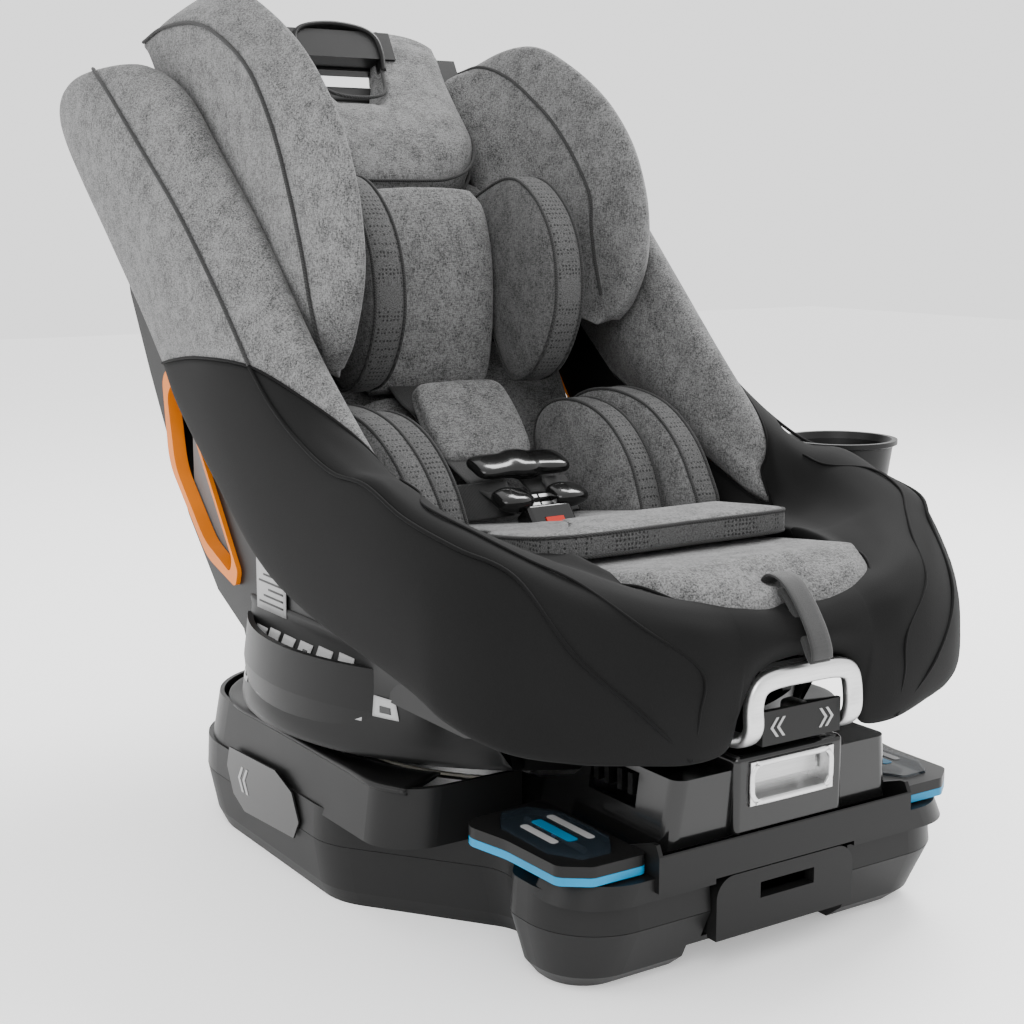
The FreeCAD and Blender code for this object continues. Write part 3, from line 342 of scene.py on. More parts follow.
def mesh_object(name, verts, faces, look, smooth=True):
    """An object from points in millimetres and faces, its normals turned outwards."""
    mesh = bpy.data.meshes.new(name)
    mesh.from_pydata([tuple(v * MM) for v in verts], [], faces)
    bm = bmesh.new()
    bm.from_mesh(mesh)
    bmesh.ops.remove_doubles(bm, verts=bm.verts, dist=1e-6)
    bmesh.ops.recalc_face_normals(bm, faces=bm.faces)
    bm.to_mesh(mesh)
    bm.free()
    mesh.polygons.foreach_set("use_smooth", [smooth] * len(mesh.polygons))
    obj = bpy.data.objects.new(name, mesh)
    bpy.context.scene.collection.objects.link(obj)
    mesh.materials.append(MAT[look])
    return obj


def ring_faces(rings, size, closed=False, start=0):
    """Quads between neighbouring rings of points; the last ring meets the first where it is closed."""
    faces = []
    for i in range(rings if closed else rings - 1):
        a, b = start + i * size, start + (i + 1) % rings * size
        faces += [(a + k, a + (k + 1) % size, b + (k + 1) % size, b + k) for k in range(size)]
    return faces


def headings(path, closed=False):
    """Each point of a path with its direction."""
    count = len(path)
    for i, p in enumerate(path):
        before = path[i - 1] if closed or i else p
        after = path[(i + 1) % count] if closed or i + 1 < count else p
        yield p, (after - before).normalized()


def skin(name, stations, look, along=6, around=5):
    """A closed skin through rings of control points, the same number in each ring."""
    count = len(stations[0])
    columns = [catmull([Vector(s[k]) for s in stations], along, False) for k in range(count)]
    rings = [catmull([column[i] for column in columns], around, True) for i in range(len(columns[0]))]
    size = len(rings[0])
    verts = [v for ring in rings for v in ring]
    faces = ring_faces(len(rings), size)
    for at, ring in ((0, rings[0]), (len(rings) - 1, rings[-1])):
        hub = len(verts)
        verts.append(sum(ring, Vector()) / size)
        faces += [(at * size + k, at * size + (k + 1) % size, hub) for k in range(size)]
    return mesh_object(name, verts, faces, look)


def tube(name, points, radius, look, closed=False, steps=6, sides=8):
    """A round cord along a smooth line: piping on a seam."""
    path = catmull([Vector(p) for p in points], steps, closed)
    verts = []
    normal = None
    for p, heading in headings(path, closed):
        if normal is None:
            normal = heading.orthogonal().normalized()
        normal = (normal - heading * normal.dot(heading)).normalized()
        side = heading.cross(normal)
        for k in range(sides):
            a = 2 * math.pi * k / sides
            verts.append(p + (normal * math.cos(a) + side * math.sin(a)) * radius)
    return mesh_object(name, verts, ring_faces(len(path), sides, closed), look)


RIBBON_SECTION = [(-0.5, 0), (-0.44, 0.5), (0, 0.5), (0.44, 0.5), (0.5, 0), (0.44, -0.5), (0, -0.5),
                  (-0.44, -0.5)]


def ribbon(name, points, width, thickness, look, across=Vector((1, 0, 0)), steps=8):
    """A flat strap along a smooth line, rounded at its edges."""
    path = catmull([Vector(p) for p in points], steps, False)
    stations = []
    for p, heading in headings(path):
        side = (across - heading * across.dot(heading)).normalized()
        up = side.cross(heading).normalized()
        stations.append([p + side * (u * width) + up * (v * thickness) for u, v in RIBBON_SECTION])
    return skin(name, stations, look, along=1, around=2)


def on_back(x, out, up):
    """A point by its distance out of the back's plane and up along it."""
    s, c = math.sin(BACK_ANGLE), math.cos(BACK_ANGLE)
    return Vector((x, BITE.y + up * s - out * c, BITE.z + up * c + out * s))


def done(obj, body, *nodes, look=None, pad=None):
    """Rides on a body and replaces CAD nodes; its look is not used."""
    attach(obj, body)
    if nodes:
        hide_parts(*nodes)
    return obj


def piped(name, points, body, radius=1.5, look="piping", closed=False, steps=6):
    """Piping or a sewn line that rides with a cover."""
    return done(tube(name, points, radius, look, closed=closed, steps=steps), body, look=look)


# ---------------------------------------------------------------- cover of the bucket

# The black cover on one side, from its slanted join with the grey shoulder to the round front corner.
# Each ring runs from the hem outside over the crest to the seat inside.
COVER_BACK = [
    [(222, 262, 402), (232, 190, 412), (238, 118, 417), (234, 46, 415), (222, -6, 399), (206, -66, 374),
     (194, -96, 350),
     (186, -98, 326), (181, -90, 300), (212, 120, 330)],
    [(224, 224, 366), (236, 150, 378), (240, 70, 384), (236, 2, 387), (222, -48, 378), (204, -90, 362),
     (190, -108, 342),
     (183, -110, 316), (179, -104, 290), (212, 100, 300)],
    [(226, 140, 308), (238, 86, 326), (242, 16, 350), (237, -48, 364), (222, -84, 362), (202, -112, 352),
     (186, -122, 330),
     (177, -124, 304), (168, -120, 284), (212, 60, 268)],
    [(230, 50, 256), (240, 10, 280), (243, -44, 320), (237, -100, 348), (221, -120, 352), (200, -136, 344),
     (184, -142, 320),
     (168, -144, 296), (146, -144, 282), (212, 0, 244)],
    [(232, -40, 230), (241, -62, 260), (243, -98, 310), (236, -150, 345), (220, -158, 348), (200, -164, 338),
     (180, -168, 312),
     (160, -170, 292), (132, -170, 282), (212, -60, 232)],
]
# The rest follows the plan outline: place along it, then (depth inwards, height) of each point of the ring.
PLAN_HALF, PLAN_CORNER, PLAN_FRONT = 237.0, 150.0, -362.0
COVER_FRONT = [
    (("side", -200), [(2, 208), (-4, 246), (-4, 292), (4, 328), (20, 335), (42, 326), (66, 304), (90, 291),
                      (120, 285), (26, 218)]),
    (("corner", 16), [(-3, 195), (-6, 238), (-3, 280), (10, 314), (28, 322), (50, 316), (74, 301), (98, 291),
                      (124, 286), (28, 209)]),
    (("corner", 34), [(-6, 183), (-8, 226), (-1, 264), (18, 297), (36, 306), (58, 305), (80, 297), (100, 291),
                      (124, 287), (30, 198)]),
    (("corner", 52), [(2, 177), (-4, 216), (2, 250), (16, 279), (33, 292), (52, 296), (72, 293), (92, 289),
                      (114, 285), (30, 188)]),
    (("corner", 70), [(9, 174), (1, 208), (3, 240), (11, 266), (25, 281), (40, 286), (56, 286), (74, 284),
                      (94, 280), (28, 181)]),
    (("corner", 86), [(10, 169), (2, 203), (1, 234), (6, 258), (17, 271), (28, 277), (40, 278), (54, 276),
                      (74, 270), (26, 178)]),
    (("front", 66), [(11, 171), (3, 204), (0, 234), (5, 254), (14, 266), (24, 272), (34, 273), (46, 270),
                     (66, 262), (24, 182)]),
    (("front", 58), [(11, 190), (3, 216), (0, 238), (5, 255), (14, 266), (24, 271), (34, 271), (46, 268),
                     (66, 260), (24, 200)]),
    (("front", 44), [(9, 221), (2, 233), (0, 244), (4, 255), (13, 265), (22, 269), (32, 269), (44, 266),
                     (66, 258), (20, 226)]),
    (("front", 20), [(9, 230), (2, 239), (0, 247), (4, 255), (12, 263), (21, 266), (31, 266), (43, 263),
                     (66, 256), (18, 234)]),
]


def plan_point(kind, value):
    """A point of the cover's plan outline and its outward normal."""
    middle = (PLAN_HALF - PLAN_CORNER, PLAN_FRONT + PLAN_CORNER)
    if kind == "side":
        return Vector((PLAN_HALF, value, 0)), Vector((1, 0, 0))
    if kind == "front":
        return Vector((value, PLAN_FRONT, 0)), Vector((0, -1, 0))
    turn = math.radians(value)
    normal = Vector((math.cos(turn), -math.sin(turn), 0))
    return Vector((*middle, 0)) + normal * PLAN_CORNER, normal


def cover_rings():
    rings = [list(ring) for ring in COVER_BACK]
    for (kind, value), section in COVER_FRONT:
        point, normal = plan_point(kind, value)
        rings.append([tuple(point - normal * depth + Vector((0, 0, z))) for depth, z in section])
    return rings


COVER_SIDE = cover_rings()
CUP = Vector((272, -106, 338))
HEM_INSIDE, HEM_CORNER = 213.0, -190


def lowered(ring, sign):
    """A ring on its side of the seat, its last point tucked in behind the hem. The cup's side is lower."""
    out = []
    x, y, z = ((a + b) / 2 for a, b in zip(ring[0], ring[1]))
    last = (x * (HEM_INSIDE / x), y, z) if x > HEM_INSIDE and y > HEM_CORNER else ring[-1]
    for x, y, z in list(ring[:-1]) + [last]:
        if sign > 0:
            near = math.exp(-((y + 130) / 130) ** 2)
            z -= 13 * near * clamp((z - 270) / 50)
        out.append((sign * x, y, z))
    return out


def bucket_cover():
    """The black cover: both bolsters and the front apron in one sweep round the front."""
    rings = [lowered(ring, 1) for ring in COVER_SIDE] + [lowered(ring, -1) for ring in COVER_SIDE[::-1]]
    cover = skin("bucket_cover", rings, "knit", along=6, around=6)
    for vertex in cover.data.vertices:
        p = vertex.co / MM
        room = 57 - clamp((330 - p.z) / 66) * 13
        flat = Vector((p.x - CUP.x, p.y - CUP.y))
        if p.x > 0 and flat.length < room and p.z > 262:
            vertex.co.x = (CUP.x - math.sqrt(max(0.0, room ** 2 - flat.y ** 2))) * MM
    done(cover, "seat", "bolster_left", "bolster_right", look="knit", pad=0.8)
    return cover


SHOULDER = [
    COVER_BACK[0],
    [(224, 306, 448), (236, 236, 462), (240, 166, 470), (234, 108, 474), (222, 62, 470), (206, 22, 450),
     (193, 0, 424),
     (186, 4, 396), (182, 24, 360), (212, 200, 400)],
    [(228, 366, 508), (239, 300, 522), (243, 230, 534), (236, 182, 540), (222, 140, 544), (206, 110, 538),
     (193, 96, 516),
     (186, 110, 484), (183, 140, 444), (214, 300, 490)],
    [(234, 418, 566), (243, 370, 576), (245, 306, 592), (237, 266, 600), (222, 214, 606), (206, 188, 602),
     (193, 176, 582),
     (187, 190, 552), (184, 226, 514), (216, 366, 556)],
    [(238, 450, 608), (246, 420, 618), (246, 370, 632), (238, 324, 642), (222, 272, 649), (206, 246, 648),
     (194, 236, 632),
     (188, 248, 604), (186, 280, 570), (218, 402, 604)],
    [(236, 462, 634), (243, 446, 646), (243, 410, 659), (235, 370, 667), (221, 324, 671), (208, 300, 668),
     (197, 290, 654),
     (191, 300, 630), (190, 322, 600), (218, 420, 628)],
    [(228, 452, 650), (232, 440, 658), (232, 420, 666), (226, 394, 670), (216, 364, 671), (208, 344, 668),
     (202, 338, 660),
     (199, 342, 648), (199, 358, 634), (216, 420, 644)],
]


def shoulders():
    """The grey cover of each shoulder, from the join with the black cover to its rounded top."""
    for sign, side in SIDES:
        rings = [lowered(ring, sign) for ring in SHOULDER]
        piece = skin("shoulder_" + side, rings, "heather", along=7, around=6)
        nodes = ("shoulder_covers",) if sign > 0 else ()
        done(piece, "seat", *nodes, look="heather", pad=0.7)


def shifted(ring_points, sign, out, up):
    """Points moved a little off the surface: outwards in x and up."""
    return [(p[0] + sign * out, p[1], p[2] + up) for p in ring_points]


def seam_lines():
    """Piping on the outer edge of both covers, the seams round the corner, and the joins."""
    for sign, side in SIDES:
        rings = [lowered(ring, sign) for ring in COVER_SIDE]
        piped("cover_piping_" + side,
              shifted([ring[3] for ring in rings[:8]] + [rings[8][2], rings[9][1], rings[10][0]], sign, 1.3,
                      0.8),
              "seat", 1.5, "knit_seam", steps=8)
        front = [rings[3][5], rings[4][5], rings[5][4], rings[6][4], rings[7][4], rings[8][4], rings[9][3],
                 rings[10][2],
                 rings[10][1], rings[10][0]]
        piped("corner_seam_" + side, shifted(front, 0, 0, 0.9), "seat", 1.1, "knit_seam", steps=8)
        top = [lowered(ring, sign)[3] for ring in SHOULDER]
        piped("shoulder_piping_" + side, shifted(top, sign, 1.4, 1.2), "seat", 1.7, steps=8)
        ring = catmull([Vector(p) for p in lowered(COVER_SIDE[0], sign)], 6, True)
        centre = sum(ring, Vector()) / len(ring)
        proud = [p + (p - centre).normalized() * 0.9 for p in ring[:46:3]]
        piped("join_seam_" + side, proud, "seat", 1.2, "knit_seam", steps=3)


# ---------------------------------------------------------------- cushion, back pad and infant insert

def crowned_slab(name, outline, top, thick, look, rings=22, roll=20.0):
    """A pad from its outline (x, y) and the height of its top, a given thickness, rolled at the edge."""
    edge = catmull([Vector((x, y, 0)) for x, y in outline], 6, True)
    centre = sum(edge, Vector()) / len(edge)
    verts = []
    for side in (1, -1):
        for k in range(rings + 1):
            size = (1 - k / rings) ** 1.6
            for p in edge:
                q = centre + (p - centre) * size
                rounding = min(1.0, (p - q).length / roll)
                swell = math.sqrt(max(0.0, 1 - (1 - rounding) ** 2))
                verts.append(Vector((q.x, q.y, top(q.x, q.y) - thick / 2 + side * thick / 2 * swell)))
    count = len(edge)
    faces = ring_faces(rings + 1, count) + ring_faces(rings + 1, count, start=(rings + 1) * count)
    return mesh_object(name, verts, faces, look)


def seat_cushion():
    """Grey heather cushion that dips to the bite, rolled over the front, with a slit for the strap."""
    half = [(24, -350), (56, -349), (88, -334), (108, -304), (118, -262), (128, -200), (150, -120),
            (166, -40),
            (168, 90), (90, 106)]
    outline = [(0, -344)] + mirrored(half, (0, 108))

    def top(x, y):
        slope = clamp((y + 300) / 400)
        roll = clamp((-296 - y) / 54)
        slit = math.exp(-((y + 318) / 7.0) ** 2) * clamp((30 - abs(x)) / 8)
        gather = math.exp(-(x / 14.0) ** 2) * clamp((-300 - y) / 20)
        return 293 - 54 * slope - 22 * roll ** 2 - 9 * slit - 6 * gather

    cushion = crowned_slab("seat_cushion_top", outline, top, 30, "heather")
    done(cushion, "seat", "seat_cushion", look="heather", pad=0.7)
    edge = catmull([Vector((x, y, 0)) for x, y in outline[-6:] + outline[:6]], 3, False)
    line = [(p.x * 0.985, p.y + 2, top(p.x, p.y) - 9) for p in edge]
    piped("cushion_seam", line, "seat", 1.2, "knit_seam", steps=2)


def back_cover():
    """The fabric over the whole back, behind the insert."""
    outline = [(172, 0), (174, 120), (174, 300), (168, 430), (90, 438), (-90, 438), (-168, 430), (-174, 300),
               (-174, 120),
               (-172, 0), (-90, -6), (90, -6)]
    stations = []
    for shrink, out in ((1.0, -14), (0.995, -4), (0.96, 0), (0.7, 3), (0.35, 5), (0.02, 6)):
        stations.append([on_back(x * shrink, out, 216 + (u - 216) * shrink) for x, u in outline])
    pad = skin("back_cover", stations, "heather_dark", along=3, around=4)
    done(pad, "seat", "back_pad", look="heather_dark", pad=0.6)


def side_pad(name, outline, x_mid, thick, look, lean, bulge=0.28):
    """A padded lobe standing on edge: outline of (y, z), a rounded rim, and faces that swell."""
    edge = catmull([Vector((0, y, z)) for y, z in outline], 5, True)
    centre = sum(edge, Vector()) / len(edge)
    verts = []
    half = thick / 2
    face = [(1.0 + bulge, 0.03), (1.0 + bulge * 0.9, 0.35), (1.0 + bulge * 0.5, 0.7), (1.0, 0.9),
            (0.86, 0.975), (0.5, 1.0)]
    levels = [(-level, size) for level, size in face] + face[::-1]
    for level, size in levels:
        for p in edge:
            q = centre + (p - centre) * size
            verts.append(Vector((x_mid + level * half + lean * (q.z - centre.z), q.y, q.z)))
    count = len(edge)
    faces = ring_faces(len(levels), count)
    for k in (0, len(levels) - 1):
        faces.append(tuple(k * count + m for m in range(count)))
    obj = mesh_object(name, verts, faces, look)
    obj.data.materials.append(MAT["mesh"])
    for polygon in obj.data.polygons:
        at = polygon.center.x / MM - x_mid - lean * (polygon.center.z / MM - centre.z)
        if abs(at) < half * 0.9:
            polygon.material_index = 1
    rims = []
    for level in (-0.86, 0.86):
        line = []
        for p in edge[::2]:
            q = centre + (p - centre) * 0.985
            line.append((x_mid + level * half + lean * (q.z - centre.z), q.y, q.z))
        rims.append(line)
    return obj, rims


def hip_pads():
    """Two lobes on each side of the infant insert."""
    inner = [(120, 330), (108, 356), (76, 368), (36, 366), (0, 352), (-30, 326), (-48, 296), (-52, 272),
             (-10, 266),
             (50, 266), (100, 282)]
    outer = [(126, 336), (108, 364), (70, 376), (28, 375), (-12, 364), (-48, 340), (-74, 308), (-84, 282),
             (-40, 268),
             (40, 266), (104, 286)]
    for sign, side in SIDES:
        for label, outline, x in (("inner", inner, 103), ("outer", outer, 140)):
            pad, rims = side_pad("hip_pad_%s_%s" % (label, side), outline, sign * x, 27, "heather",
                                 lean=sign * 0.06)
            done(pad, "seat", "hip_pads", look="heather", pad=0.8)
            for n, line in enumerate(rims):
                piped("hip_piping_%s_%s_%d" % (label, side, n), line, "seat", closed=True, steps=2)


def edge_ring(outline, inset, z_of, steps=4):
    """A closed line round an outline, moved inwards by inset, at a height that depends on its place."""
    edge = catmull([Vector((x, y, 0)) for x, y in outline], steps, True)
    line = []
    for i, p in enumerate(edge):
        heading = (edge[(i + 1) % len(edge)] - edge[i - 1]).normalized()
        inward = Vector((-heading.y, heading.x, 0))
        q = p + inward * inset
        line.append((q.x, q.y, z_of(p.x, p.y)))
    return line


def wedge():
    """Wedge under the child: a flat felt pad with a mesh rim between two lines of piping."""
    half = [(60, -226), (100, -220), (118, -196), (116, -150), (104, -104), (84, -70), (82, 30), (60, 82)]
    outline = [(0, -224)] + mirrored(half, (0, 85))

    def top(x, y):
        along = clamp((y + 226) / 310)
        return 309 - 46 * along

    stations = []
    for inset, drop in ((58, 1.5), (26, 0), (8, 0.5), (2, 2), (0, 5), (0, 12), (0, 18), (3, 21.5), (12, 23)):
        stations.append(edge_ring(outline, inset, lambda x, y: top(x, y) - drop, steps=3))
    pad = skin("insert_wedge_pad", stations, "heather", along=2, around=1)
    pad.data.materials.append(MAT["mesh"])
    for polygon in pad.data.polygons:
        if abs(polygon.normal.z) < 0.6:
            polygon.material_index = 1
    done(pad, "seat", "insert_wedge", look="heather", pad=0.7)
    for n, drop in enumerate((3.2, 19.5)):
        line = edge_ring(outline, 0.8, lambda x, y: top(x, y) - drop)[::2]
        piped("wedge_piping_%d" % n, line, "seat", 1.6, closed=True, steps=2)


def insert_back():
    """The small pad behind the child, crowned off the back."""
    outline = [(0, 140)] + mirrored([(60, 138), (82, 120), (84, 80), (78, 40), (50, 32)], (0, 30))
    stations = []
    for shrink, out in ((0.1, 4), (0.9, 3), (1.0, 10), (1.0, 20), (0.94, 27), (0.6, 31), (0.1, 32)):
        stations.append([on_back(x * shrink, out, 86 + (u - 86) * shrink) for x, u in outline])
    pad = skin("insert_back", stations, "heather", along=3, around=4)
    done(pad, "seat", "insert_back_pad", look="heather", pad=0.6)


# ---------------------------------------------------------------- headrest

# Stations of a headrest wing from its top to its lower tip, as (x, out of the back, up the back). Each
# runs from the seam at the pad over the inner face and piping to the front edge, then the outer seam and
# the rear edge.
WING = [
    [(124, 12, 522), (138, 10, 530), (150, 12, 534), (163, 18, 536), (180, 14, 533), (190, 8, 528),
     (184, 2, 522), (150, 2, 516)],
    [(123, 13, 506), (139, 36, 514), (151, 66, 512), (164, 98, 516), (182, 84, 513), (194, 62, 507),
     (187, 8, 502), (150, 4, 500)],
    [(122, 15, 470), (141, 60, 480), (153, 112, 468), (165, 158, 484), (184, 146, 478), (195, 122, 472),
     (187, 16, 474), (150, 8, 470)],
    [(122, 17, 428), (143, 80, 432), (155, 146, 414), (166, 206, 430), (186, 190, 424), (196, 164, 432),
     (187, 44, 434), (152, 16, 430)],
    [(123, 18, 380), (145, 88, 376), (156, 168, 370), (167, 246, 366), (187, 228, 362), (196, 200, 376),
     (187, 62, 390), (154, 20, 385)],
    [(125, 20, 325), (147, 94, 320), (156, 186, 314), (167, 267, 304), (187, 247, 300), (196, 214, 314),
     (187, 76, 322), (155, 34, 320)],
    [(130, 28, 270), (147, 102, 262), (155, 194, 262), (166, 270, 256), (186, 249, 248), (195, 212, 254),
     (187, 84, 266), (156, 50, 262)],
    [(136, 54, 216), (148, 114, 222), (154, 180, 226), (164, 260, 210), (184, 240, 202), (193, 203, 202),
     (187, 102, 212), (157, 76, 210)],
    [(140, 84, 176), (148, 124, 182), (154, 168, 188), (161, 234, 166), (180, 217, 160), (189, 188, 164),
     (184, 122, 178), (158, 100, 172)],
    [(146, 116, 142), (150, 134, 146), (154, 160, 150), (159, 190, 132), (172, 182, 128), (180, 170, 134),
     (177, 142, 142), (158, 126, 139)],
    [(152, 136, 122), (154, 144, 124), (156, 152, 125), (159, 160, 120), (166, 158, 118), (170, 152, 120),
     (168, 144, 124), (158, 138, 123)],
]


def wing_place(sign, x, out, up):
    """A wing's point: the wing on the +X side is folded in closer to the back than the other."""
    if sign > 0:
        return on_back(x, out * 0.77, 166 + (up - 120) * 0.815)
    return on_back(-x, out, up - 6)


def wing_points(sign, column, lift=0.0):
    """One lengthwise line of a wing, for its piping."""
    return [wing_place(sign, ring[column][0] + lift, ring[column][1], ring[column][2]) for ring in WING]


def headrest_wings():
    """Curved wings: one skin each, with piping on the inner face and the outer edge."""
    for sign, side in SIDES:
        stations = [[wing_place(sign, x, out, up) for x, out, up in ring] for ring in WING]
        wing = skin("headrest_wing_" + side, stations, "heather", along=6, around=7)
        nodes = ("headrest_wings",) if sign > 0 else ()
        done(wing, "headrest", *nodes, look="heather", pad=0.75)
        piped("wing_piping_outer_" + side, wing_points(sign, 5, 1.4)[:-1], "headrest", 1.7, steps=8)
        piped("wing_piping_inner_" + side, wing_points(sign, 2, -1.2)[:-1], "headrest", 1.6, steps=8)


def pad_edge(x):
    """Lower and upper edge of the upper pad at a place across it: a rounded lip, and the grip's scoop."""
    a = abs(x) / PAD_HALF
    return 328 + 84 * a ** 5, 449 + 80 * ease((abs(x) - 26) / 30) - 9 * a ** 6


def pad_lift(x, up):
    """How far the upper pad's face stands out of the back's plane."""
    side = (1 - min(0.999, abs(x) / PAD_HALF) ** 8) ** 0.5
    return PAD_BACK + 54 * max(0.32, min(1.0, (545 - up) / 150)) * max(side, 0.3)


def headrest_pad():
    """Upper pad with the scoop for the grip and a rounded lip, and the flat panel under it."""
    stations = []
    for i in range(-14, 15):
        x = 121.5 * math.sin(math.pi / 2 * i / 14)
        low, high = pad_edge(x)
        ring = []
        for k in range(13):
            u = 0.5 - 0.5 * math.cos(math.pi * k / 12)
            up = low + (high - low) * u
            ring.append(on_back(x, PAD_BACK + (pad_lift(x, up) - PAD_BACK) * (1 - abs(2 * u - 1) ** 7) ** 0.5,
                                up))
        stations.append(ring)
    done(skin("headrest_upper_pad", stations, "heather", along=2, around=3), "headrest", "headrest_pad",
         look="heather", pad=0.7)
    lower = [(0, 360)] + mirrored([(80, 362), (120, 352), (124, 290), (118, 216), (60, 208)], (0, 207))
    middle = sum(up for _, up in lower) / len(lower)
    stations = []
    for size, out in ((0.9, PAD_BACK), (1.0, 18), (1.0, 26), (0.96, 33), (0.6, 36), (0.05, 37)):
        stations.append([on_back(x * size, out, middle + (up - middle) * size) for x, up in lower])
    panel = skin("headrest_lower_panel", stations, "heather_dark", along=3, around=5)
    done(panel, "headrest", look="heather_dark", pad=0.7)
    places = [-118, -104, -84, -56, -28, 0, 28, 56, 84, 104, 118]
    for n, (rise, share) in enumerate(((1.5, 0.62), (14, 1.0))):
        line = [on_back(x, PAD_BACK + (pad_lift(x, pad_edge(x)[0]) - PAD_BACK) * share + 0.6,
                        pad_edge(x)[0] + rise) for x in places]
        piped("headrest_lip_piping_%d" % n, line, "headrest", 1.6, steps=6)
    scoop = mirrored([(-58, 524), (-48, 508), (-42, 486), (-34, 462), (-22, 452)], (0, 449))
    piped("scoop_piping", [on_back(x, pad_lift(x, up) - 2, up - 3) for x, up in scoop], "headrest", 1.8,
          steps=6)
    hood = mirrored([(-44, 486), (-47, 506), (-44, 524), (-30, 534)], (0, 538))
    across = on_back(0, 1, 0) - on_back(0, 0, 0)
    shell = ribbon("headrest_hood", [on_back(x, 20, up) for x, up in hood], 34, 5, "black", across=across)
    done(shell, "headrest", look="black")


def head_pillow():
    """The infant head pillow: a tapered centre and a lobe on each side."""
    rows = [(146, 14, 30, 60), (160, 18, 42, 66), (200, 36, 72, 68), (250, 56, 98, 68), (292, 70, 108, 66),
            (312, 80, 106, 58)]
    stations = []
    for up, back, front, half in rows:
        middle = (back + front) / 2
        stations.append([on_back(x, out, up) for x, out in (
            (-half, middle), (-half * 0.92, front - 3), (-half * 0.45, front + 2), (0, front + 3),
                                                            (half * 0.45, front + 2),
            (half * 0.92, front - 3), (half, middle), (half * 0.9, back + 1), (0, back),
                                                            (-half * 0.9, back + 1))])
    done(skin("pillow_centre", stations, "heather", along=5, around=5), "headrest", "head_pillow",
         look="heather", pad=0.75)
    outline_local = [(52, 316), (100, 320), (142, 304), (166, 262), (168, 214), (146, 166), (104, 136),
                     (66, 132), (44, 152),
                     (40, 240)]
    outline = [(on_back(0, out, up).y, on_back(0, out, up).z) for out, up in outline_local]
    for sign, side in SIDES:
        lobe, rims = side_pad("pillow_side_" + side, outline, sign * 94, 34, "heather_dark", lean=sign * 0.02)
        done(lobe, "headrest", "head_pillow", look="heather_dark", pad=0.8)
        for n, line in enumerate(rims):
            piped("pillow_piping_%s_%d" % (side, n), line, "headrest", closed=True, steps=2)


# ---------------------------------------------------------------- harness

def tilted(centre, heading, x, along, up):
    """A point in a frame that lies on a slope in the y-z plane."""
    heading = Vector(heading).normalized()
    lift = Vector((0, heading.z, -heading.y))
    return Vector(centre) + Vector((x, 0, 0)) + heading * along + lift * up


def cushion_section(half, thick):
    """The crowned section of a pad, from one edge over the top and back underneath."""
    side = [(-half, 0), (-half * 0.93, thick * 0.36), (-half * 0.5, thick * 0.5)]
    under = [(half * 0.93, -thick * 0.36), (0, -thick * 0.45), (-half * 0.93, -thick * 0.36)]
    return mirrored(side, (0, thick * 0.54)) + under


def clip_section(half, thick):
    side = [(-half, 0), (-half * 0.8, thick * 0.42)]
    under = [(half * 0.8, -thick * 0.4), (0, -thick * 0.45), (-half * 0.8, -thick * 0.4)]
    return mirrored(side, (0, thick * 0.55)) + under


def tongue_section(half, thick):
    flat = half * 0.7
    return [(-half, 0), (-flat, thick), (flat, thick), (half, 0), (flat, -thick), (-flat, -thick)]


CHEST_SLOPE, CLIP_SLOPE = (0, -0.68, -0.73), (0, -0.943, -0.331)


def harness():
    """Chest pad, chest clip, covers of the tongues, and the adjuster's tail."""
    ends = [(-44, 36, 6), (-41, 42, 15), (-30, 47, 20)]
    pad = [[tilted((0, 84, 351), CHEST_SLOPE, x, along, h) for x, h in cushion_section(half, thick)]
           for along, half, thick in mirrored(ends, (0, 49, 22))]
    cushion = skin("chest_pad_cushion", pad, "heather", along=4, around=5)
    done(cushion, "seat", "chest_pad", look="heather", pad=0.8)
    ends = [(-47, 8, 5), (-45, 14, 9), (-36, 17, 12), (-16, 16, 14), (-6, 19, 17)]
    clip = [[tilted((0, 8, 322), CLIP_SLOPE, x, a, h) for a, h in clip_section(half, thick)]
            for x, half, thick in ends + [(-x, half, thick) for x, half, thick in ends[::-1]]]
    done(skin("chest_clip_body", clip, "gloss", along=3, around=4), "chest_clip", "chest_clip", look="gloss")
    for sign, side in SIDES:
        shell = [[tilted((sign * 28, -26, 298), CLIP_SLOPE, x, a, h) for a, h in tongue_section(half, thick)]
                 for x, half, thick in ((-17, 5, 2), (-15, 11, 5), (-4, 14, 7), (8, 13, 6), (16, 9, 4),
                                        (19, 4, 2))]
        done(skin("tongue_cover_" + side, shell, "gloss", along=4, around=5), "seat", look="gloss")
    tail = [(-316, 274), (-324, 284), (-338, 283), (-352, 272), (-366, 254), (-373, 240), (-374, 232)]
    fold = [(-372.5, 229.6), (-368.5, 233.6), (-360.5, 247.6), (-348.5, 265.6), (-336.5, 276.6)]
    for name, line, thickness, nodes in (("adjuster_tail", tail, 2.2, ("adjuster_strap",)),
                                         ("adjuster_tail_fold", fold, 2.0, ())):
        strap = ribbon(name, [(0, y, z) for y, z in line], 19, thickness, "webbing")
        done(strap, "seat", *nodes, look="webbing")


# ---------------------------------------------------------------- moulded and metal details

def bar(name, points, width, thickness, look, across, closed=False, steps=8, power=3.2, sides=20):
    """A bar with a rounded rectangular section along a smooth line."""
    path = catmull([Vector(p) for p in points], steps, closed)
    verts = []
    for p, heading in headings(path, closed):
        side = (across - heading * across.dot(heading)).normalized()
        other = heading.cross(side)
        for k in range(sides):
            a = 2 * math.pi * k / sides
            c, d = math.cos(a), math.sin(a)
            u = math.copysign(abs(c) ** (2 / power), c) * thickness / 2
            v = math.copysign(abs(d) ** (2 / power), d) * width / 2
            verts.append(p + side * u + other * v)
    faces = ring_faces(len(path), sides, closed)
    if not closed:
        faces += [tuple(at * sides + k for k in range(sides)) for at in (0, len(path) - 1)]
    return mesh_object(name, verts, faces, look)


